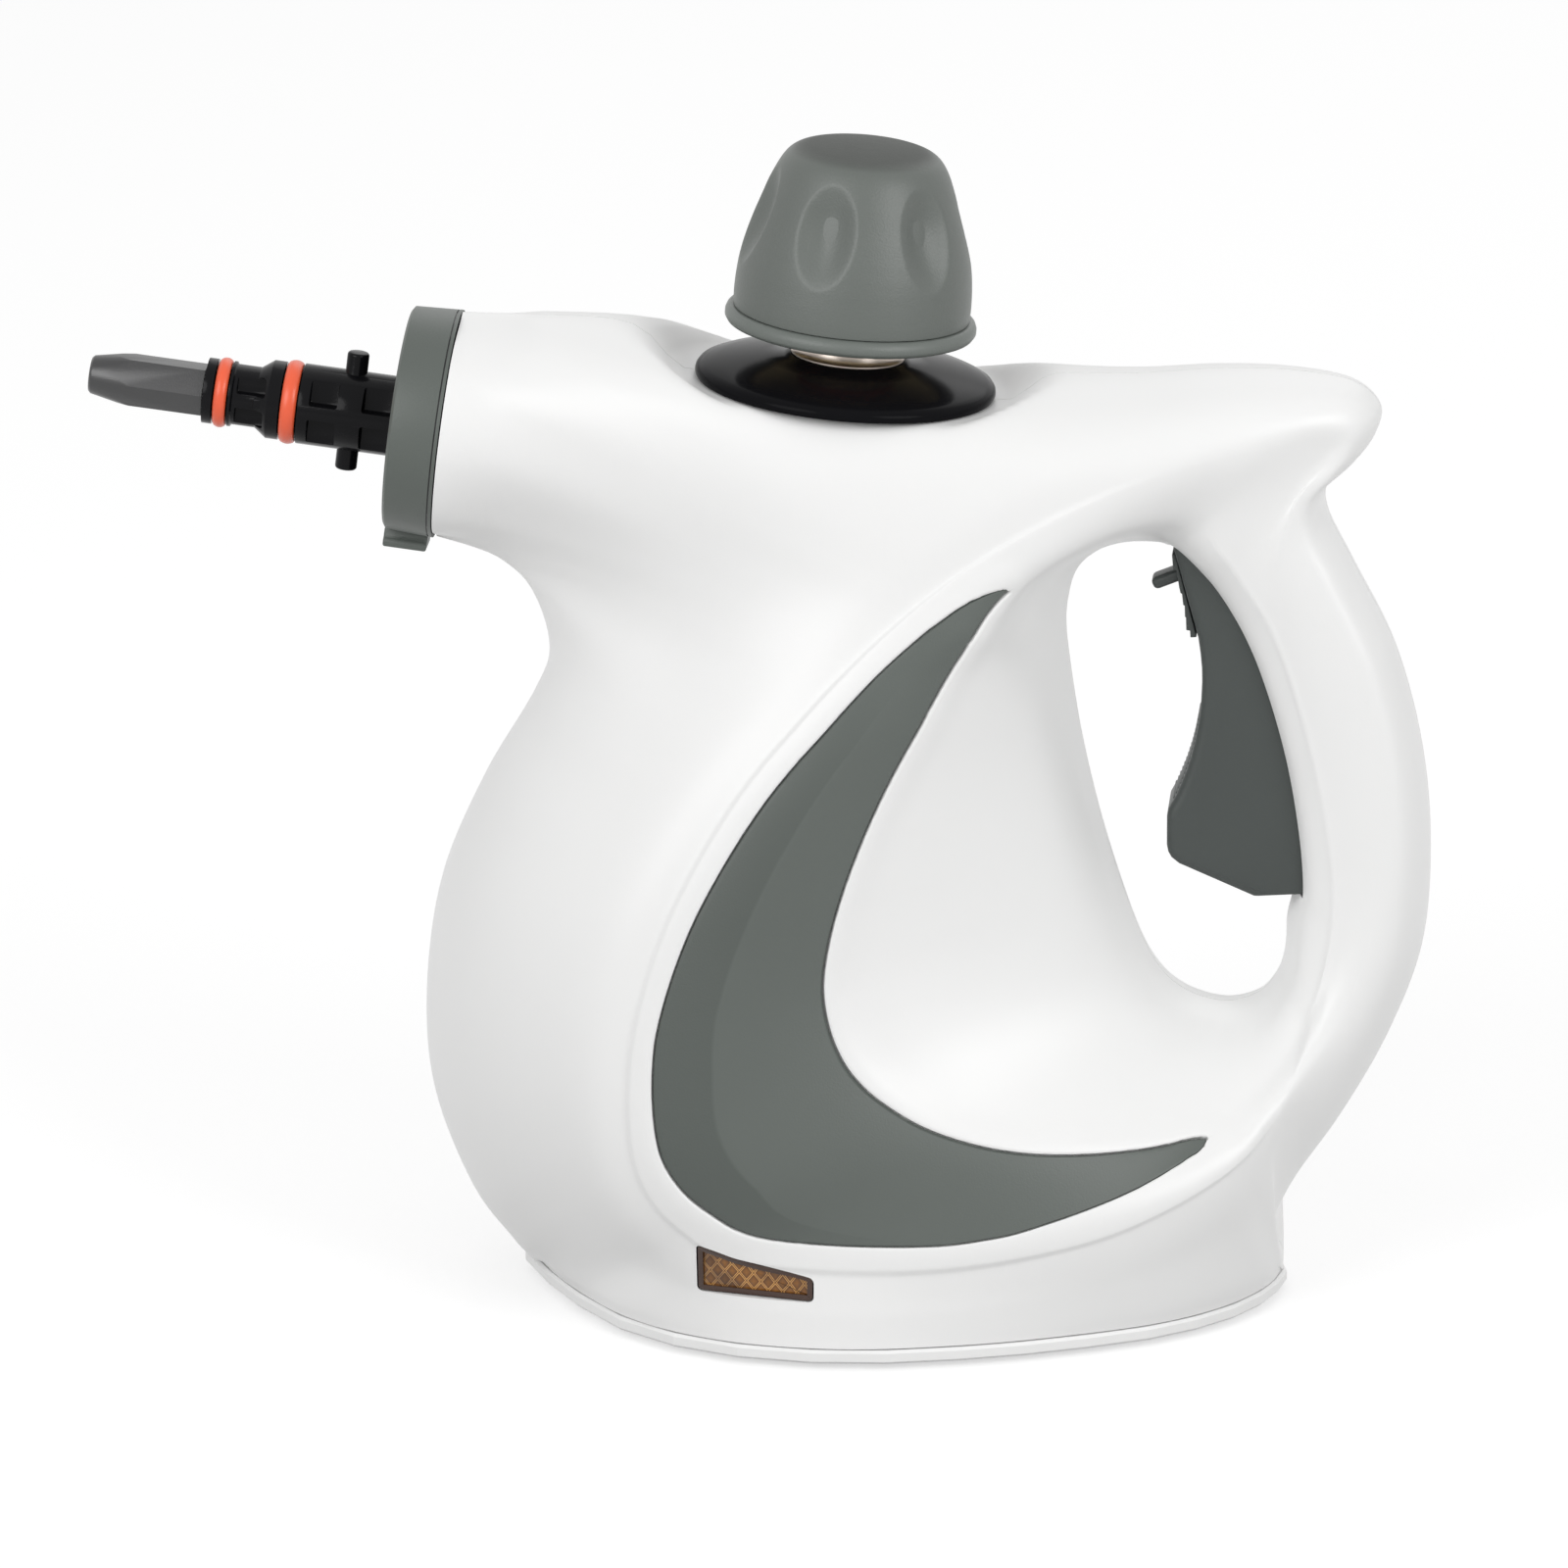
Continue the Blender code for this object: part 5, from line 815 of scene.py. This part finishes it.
def drawn(name, profile, sides=96, solid=True):
    """A round piece drawn out of a circle, ring after ring: (radius, height) pairs along Z."""
    radius, height = profile[0]
    bpy.ops.mesh.primitive_circle_add(vertices=sides, radius=radius, location=(0.0, 0.0, height))
    piece = made(name)
    edit(piece)
    bpy.ops.mesh.select_mode(type="EDGE")
    bpy.ops.mesh.select_all(action="SELECT")
    for next_radius, next_height in profile[1:]:
        bpy.ops.mesh.extrude_edges_move(TRANSFORM_OT_translate={"value": (0.0, 0.0, next_height - height)})
        if next_radius != radius:
            factor = next_radius / radius
            bpy.ops.transform.resize(value=(factor, factor, 1.0), center_override=(0.0, 0.0, next_height))
        radius, height = next_radius, next_height
    bpy.ops.mesh.select_all(action="DESELECT")
    bpy.ops.mesh.select_non_manifold(extend=False, use_wire=False, use_multi_face=False, use_non_contiguous=False,
                                     use_verts=False)
    if solid:
        bpy.ops.mesh.edge_face_add()
        bpy.ops.mesh.select_all(action="SELECT")
        bpy.ops.mesh.fill_holes(sides=0)
    else:
        bpy.ops.mesh.bridge_edge_loops()
    bpy.ops.object.mode_set(mode="OBJECT")
    face_outward(piece)
    return piece


# Side screws' wells
# Each of the five screws of the far side stands in a round well moulded into that half, its head well below the
# surface. The well's floor bears the head.
for number, (well_frame, seat) in enumerate(wells, start=1):
    floor, top, inside = seat - 0.0001, seat + 0.0036, well_radius + 0.0001
    profile = ((0.0019, seat - 0.0012), (0.0046, seat - 0.0012), (0.0046, top), (inside, top), (inside, floor),
               (0.0019, floor))
    done(drawn(f"screw_well_{number}", profile, 64, solid=False), white_plastic, "body", at=well_frame)

# Collar ring and latch
# The grey-green ring at the snout's end takes an accessory's collar. It is a moulded sleeve, slightly tapered and
# rounded in front, with a narrow skirt behind it and the latch's waisted foot hanging below.
nozzle_frame = placed(collar_middle, nozzle_along)
collar = drawn("collar", ((0.0205, 0.0019), (0.0205, 0.0104), (0.0210, 0.0110), (0.0230, 0.0110), (0.0239, 0.0104),
                          (0.0244, 0.0013), (0.02425, 0.0013), (0.02425, 0.0019)), 128, solid=False)
bevel(collar, 0.0005, 4)
done(collar, grey_plastic, "body", "collar_ring", at=nozzle_frame)
skirt_profile = ((0.02425, 0.0003), (0.02445, 0.0003), (0.02445, 0.0010), (0.02425, 0.0010))
done(drawn("collar_skirt", skirt_profile, 128, solid=False), grey_plastic, "body", at=nozzle_frame)
foot_section = ((-0.0277, -0.0043), (-0.0262, -0.0043), (-0.0254, -0.0035), (-0.0236, -0.0032), (-0.0236, 0.0032),
                (-0.0254, 0.0035), (-0.0262, 0.0043), (-0.0277, 0.0043))
foot_back, foot_front = 0.0016, 0.0110
latch = plate_of("latch_foot", [(up, side, foot_back) for up, side in foot_section],
                 (0.0, 0.0, foot_front - foot_back))
bevel(latch, 0.0005, 3, angle=20)
done(latch, grey_plastic, "body", at=nozzle_frame)
finish_node("nozzle_seat", satin_black)

# Nozzle
# A black glass-filled tube with a rib along each side and pockets between, where the mould was cored out, a pair
# of bayonet pins, a waist, and two grooves with orange seal rings in them.
gloss_black = satin_plastic("gloss_black", (0.006, 0.006, 0.007), 0.16, 0.03, 0.0005, tone=0.2, specular=0.03)
nozzle_black = satin_plastic("nozzle_black", (0.004, 0.004, 0.005), 0.18, 0.12, 0.0005, tone=0.2, specular=0.13)
nozzle = drawn("nozzle", ((0.0086, -0.0120), (0.0086, 0.0320), (0.0064, 0.0320), (0.0064, 0.0360), (0.0084, 0.0360),
                          (0.0084, 0.0386), (0.0065, 0.0412), (0.0065, 0.0462), (0.0070, 0.0465), (0.0070, 0.0471),
                          (0.0050, 0.0471), (0.0050, 0.0505), (0.0070, 0.0505), (0.0070, 0.0525)))
pocket_cut = 0.006
for side in (1.0, -1.0):
    for low, high, floor, start, end in (
            (0.0019, 0.0076, 0.0052, 0.0236, 0.0297), (-0.0072, -0.0011, 0.0052, 0.0236, 0.0297),
            (0.0019, 0.0076, 0.0052, 0.0120, 0.0184), (-0.0072, -0.0011, 0.0052, 0.0120, 0.0184),
            (0.0018, 0.0056, 0.0040, 0.0392, 0.0455), (-0.0052, -0.0012, 0.0040, 0.0392, 0.0455)):
        pocket = block("pocket", (high - low, pocket_cut, end - start),
                       ((low + high) / 2, side * (floor + pocket_cut / 2), (start + end) / 2))
        bevel(pocket, 0.0005, 2)
        combine(nozzle, pocket)
    lug = block("lug", (0.0021, 0.0030, 0.0028), (0.0004, side * 0.0058, 0.0402))
    bevel(lug, 0.0003, 2)
    combine(nozzle, lug, "UNION")
pins = rod("pins", 48, 0.00235, 0.0258, (0.0, 0.0, 0.0210), (0.0, math.radians(90), 0.0))
bevel(pins, 0.0006, 3)
combine(nozzle, pins, "UNION")
bevel(nozzle, 0.0002, 2, angle=40)
done(nozzle, nozzle_black, "body", "nozzle_body", at=nozzle_frame, slot="gloss_black")
seal_orange = satin_plastic("seal_orange", (0.84, 0.118, 0.046), 0.30, 0.10, 0.0005, tone=0.06)
seal_thick = 0.00105
for name, node, place_along, radius, width in (("large_ring", "seal_large", 0.0340, 0.0090, 0.0034),
                                               ("small_ring", "seal_small", 0.0488, 0.0075, 0.0028)):
    bpy.ops.mesh.primitive_torus_add(major_radius=radius - seal_thick, minor_radius=seal_thick, major_segments=96,
                                     minor_segments=32)
    bpy.context.object.scale = (1.0, 1.0, width / (2 * seal_thick))
    bpy.context.object.location = (0.0, 0.0, place_along)
    done(made(name), seal_orange, "body", node, at=nozzle_frame, slot="orange_rubber")

# Nozzle tip
# A black tip screwed onto the nozzle: a six-sided body for a spanner, run out into a short turned cone where each
# flat ends in a rounded scallop.
tip = drawn("tip", ((0.0066, 0.0528), (0.0064, 0.0640), (0.0060, 0.0675), (0.0041, 0.0769), (0.0036, 0.0774),
                    (0.0012, 0.0774), (0.0010, 0.0770), (0.0010, 0.0540)), 96)
combine(tip, rod("hexagon", 6, 0.0058, 0.06, (0.0, 0.0, 0.07)), "INTERSECT")
bevel(tip, 0.00015, 2, angle=25)
tip_black = satin_plastic("tip_black", (0.016, 0.016, 0.017), 0.31, 0.30, 0.0003, tone=0.12, specular=0.85)
done(tip, tip_black, "body", "nozzle_tip", at=nozzle_frame, angle=20, slot="satin_black")

# Filler disc and neck
# A glossy black disc, gently domed with a rounded rim, lies in its seat in the top and drains spills away from
# the turned neck, whose flared foot stands in its middle.
disc_frame = placed(disc_middle, disc_axis)
disc = drawn("disc", ((0.0113, -0.0012), (0.0318, -0.0012), (0.0320, -0.0006), (0.0319, 0.0002), (0.0314, 0.0009),
                      (0.0300, 0.0015), (0.0270, 0.0022), (0.0227, 0.0030), (0.0180, 0.0037), (0.0135, 0.0043),
                      (0.0128, 0.0049), (0.0119, 0.0050), (0.0113, 0.0048)), 160, solid=False)
done(disc, gloss_black, "body", "filler_disc", at=disc_frame, angle=60)
neck_metal = turned_metal("neck_metal", (0.60, 0.53, 0.47), 0.30, 0.0004, 0.06)
finish_node("boiler_neck", neck_metal)
flare = drawn("neck_flare", ((0.01105, 0.0052), (0.0121, 0.0052), (0.0121, 0.0055), (0.0117, 0.0058),
                             (0.0114, 0.0063), (0.0112, 0.0070), (0.01105, 0.0076)), 128, solid=False)
done(flare, neck_metal, "body", at=disc_frame, angle=50, slot="brass")

# Cap
# A tall screw cap in frosted grey-green plastic: a tapering shell with six elliptical finger dimples and a flat,
# duller top painted darker as shade, on a beaded rim painted a lighter grey-green as painted light. Inside it a
# brass plug carries the thread and the orange seal.
cap_plastic = satin_plastic("cap_plastic", (0.108, 0.121, 0.110), 0.44, 0.55, 0.00042, tone=0.06)
top_starts, top_whole, side_sheen, top_sheen = 0.0484, 0.0502, 0.7, 0.05
tree = cap_plastic.node_tree
spot = tree.nodes.new("ShaderNodeTexCoord").outputs["Object"]
along_cap = wired(tree, "ShaderNodeVectorMath", {0: spot, 1: tuple(disc_axis)}, output="Value",
                  operation="DOT_PRODUCT")
disc_height = float(disc_middle @ disc_axis)
on_top = wired(tree, "ShaderNodeMapRange", {"Value": along_cap, "From Min": disc_height + top_starts,
                                            "From Max": disc_height + top_whole}, interpolation_type="SMOOTHSTEP")
sheen = wired(tree, "ShaderNodeMapRange", {"Value": on_top, "To Min": side_sheen, "To Max": top_sheen})
tree.links.new(sheen, tree.nodes["Principled BSDF"].inputs["Specular IOR Level"])
# The top's colour is mixed to a darker grey-green: painted shade on the face that catches no reflection.
overlaid(cap_plastic, on_top, (0.080, 0.086, 0.080))
cap_side = np.array([
    (0.0247, 0.01465), (0.0251, 0.0148), (0.0252, 0.0175), (0.0251, 0.0205), (0.0248, 0.0240), (0.0243, 0.0270),
    (0.0235, 0.0304), (0.0224, 0.0342), (0.0211, 0.0380), (0.0199, 0.0416), (0.0186, 0.0446), (0.0176, 0.0466),
    (0.0165, 0.0482), (0.0156, 0.0490), (0.0146, 0.0496), (0.0132, 0.0500), (0.0105, 0.0503), (0.0070, 0.0506),
    (0.0030, 0.0508),
])
steps = np.concatenate([[0.0], np.cumsum(np.linalg.norm(np.diff(cap_side, axis=0), axis=1))])
fine_steps = np.linspace(0.0, steps[-1], 120)
smoothed = np.column_stack([np.interp(fine_steps, steps, cap_side[:, part]) for part in (0, 1)])
for _ in range(6):
    smoothed[2:-1] = (smoothed[1:-2] + 2 * smoothed[2:-1] + smoothed[3:]) / 4
cap_profile = [(0.0004, 0.0483), (0.0110, 0.0480), (0.0140, 0.0466), (0.0185, 0.0385), (0.0208, 0.0290),
               (0.0214, 0.01465), *(tuple(pair) for pair in smoothed), (0.0004, 0.0508)]
shell = drawn("cap", cap_profile, 288)
dimple_count, dimple_turn, dimple_depth = 6, math.radians(-105.0), 0.0030
dimple_half_width, dimple_half_height, dimple_height, skin_deep, below_top = 0.0067, 0.0108, 0.0350, 0.0012, 0.0475
spacing = math.tau / dimple_count
for vertex in shell.data.vertices:
    radius, angle = math.hypot(vertex.co.x, vertex.co.y), math.atan2(vertex.co.y, vertex.co.x)
    if radius < np.interp(vertex.co.z, cap_side[:15, 1], cap_side[:15, 0]) - skin_deep or vertex.co.z > below_top:
        continue
    nearest_turn = (angle - dimple_turn + spacing / 2) % spacing - spacing / 2
    away = math.hypot(nearest_turn * radius / dimple_half_width, (vertex.co.z - dimple_height) / dimple_half_height)
    if away >= 1.0:
        continue
    sink = dimple_depth * (1 - away ** 2) ** 1.3
    vertex.co.x *= 1 - sink / radius
    vertex.co.y *= 1 - sink / radius
done(shell, cap_plastic, "cap", "cap_shell", at=disc_frame, angle=50, slot="grey_plastic")
rim = drawn("cap_bead", ((0.0233, 0.0110), (0.0252, 0.0110), (0.0262, 0.0114), (0.0267, 0.0122), (0.0267, 0.0131),
                         (0.0264, 0.0139), (0.0258, 0.0145), (0.0254, 0.0146), (0.0233, 0.0146)), 160, solid=False)
bevel(rim, 0.0002, 2, angle=40)
# The bead's plastic is the cap's grey-green painted lighter: painted light on the rim.
lit_bead_plastic = satin_plastic("lit_bead_plastic", (0.135, 0.150, 0.138), 0.40, 0.50, 0.00042, tone=0.06)
done(rim, lit_bead_plastic, "cap", "cap_rim", at=disc_frame, angle=50, slot="grey_plastic")
finish_node("cap_plug", brass)
finish_node("cap_seal", seal_orange)

# Trigger
# A long lever in dark grey plastic, hung on a steel pin in the slot of the grip. Its flat cheeks roll over into a
# concave finger face with fine cross ribs, down to a blunt nose.
dark_grey = satin_plastic("dark_grey_plastic", (0.049, 0.057, 0.054), 0.42, 0.28, 0.00045, tone=0.06)
trigger_front = [(0.7385, 0.4424), (0.6278, 0.4755), (0.6162, 0.4818), (0.6114, 0.4877), (0.6092, 0.4951),
                 (0.6090, 0.5125), (0.6090, 0.5265), (0.6106, 0.5335), (0.6154, 0.5400), (0.6220, 0.5486),
                 (0.6300, 0.5626), (0.6366, 0.5751), (0.6431, 0.5901), (0.6483, 0.6051), (0.6528, 0.6225),
                 (0.6560, 0.6374), (0.6578, 0.6522), (0.6589, 0.6720), (0.6584, 0.6868), (0.6564, 0.7016),
                 (0.6527, 0.7198)]
trigger_rest = [(0.6400, 0.7525), (0.6275, 0.7845), (0.6149, 0.8165), (0.6400, 0.8610), (0.653, 0.927),
                (0.689, 0.927), (0.717, 0.880), (0.742, 0.856), (0.742, 0.822), (0.735, 0.782), (0.763, 0.724),
                (0.790, 0.672), (0.815, 0.614), (0.832, 0.557), (0.843, 0.504), (0.839, 0.447)]
trigger_half = 0.0087
edge = [(x * reach, z * arm_top) for x, z in trigger_front + trigger_rest]
trigger = plate_of("trigger_lever", [(x, -trigger_half, z) for x, z in edge], (0.0, 2 * trigger_half, 0.0))
front_places = {(round(x, 5), round(z, 5)) for x, z in edge[:len(trigger_front) + 3]}


def trigger_rounding(one, two):
    """Full for the edges of the finger face, slight for the others along the cheeks, none across."""
    on_front = all((round(end.x, 5), round(end.z, 5)) in front_places for end in (one, two))
    return (1.0 if on_front else 0.15) if abs(one.y - two.y) < 0.001 else 0.0


weigh_edges(trigger, trigger_rounding)
bevel(trigger, 0.0022, 6, "WEIGHT")
done(trigger, dark_grey, "trigger", "trigger", angle=30)
rib_count, rib_low, rib_top, rib_proud = 17, 0.545, 0.630, 0.0003
for number in range(rib_count):
    height = (rib_low + (rib_top - rib_low) * number / (rib_count - 1)) * arm_top
    front = np.interp(height, [z for _, z in edge[6:20]], [x for x, _ in edge[6:20]])
    rib = block(f"finger_rib_{number + 1}", (0.0011, 0.0126, 0.0007), (front + rib_proud, 0.0, height))
    bevel(rib, 0.0003, 2)
    done(rib, dark_grey, "trigger")

# Lock slider
# A small ridged slide on the trigger's front, with a slanted thumb tab. Pushed down, it keeps the trigger pulled.
edge = [(0.0933, 0.1470), (0.0886, 0.1650), (0.0879, 0.1650), (0.0882, 0.1617), (0.0889, 0.1616), (0.0895, 0.1579),
        (0.0898, 0.1566), (0.0901, 0.1565), (0.0904, 0.1540), (0.0907, 0.1539), (0.0908, 0.1514), (0.0910, 0.1513),
        (0.0911, 0.1485), (0.0919, 0.1484), (0.0920, 0.1469)]
slide_half = 0.0060
slide = plate_of("lock_slide", [(x, -slide_half, z) for x, z in edge], (0.0, 2 * slide_half, 0.0))
bevel(slide, 0.00018, 2)
done(slide, dark_grey, "lock", "lock_slider")
tab = block("lock_tab", (0.0069, slide_half, 0.0027))
bevel(tab, 0.0011, 4)
tab_frame = Matrix.Translation((0.0869, 0.0, 0.1587)) @ Matrix.Rotation(math.atan2(0.38, -0.925) + math.pi, 4, "Y")
done(tab, dark_grey, "lock", at=tab_frame)
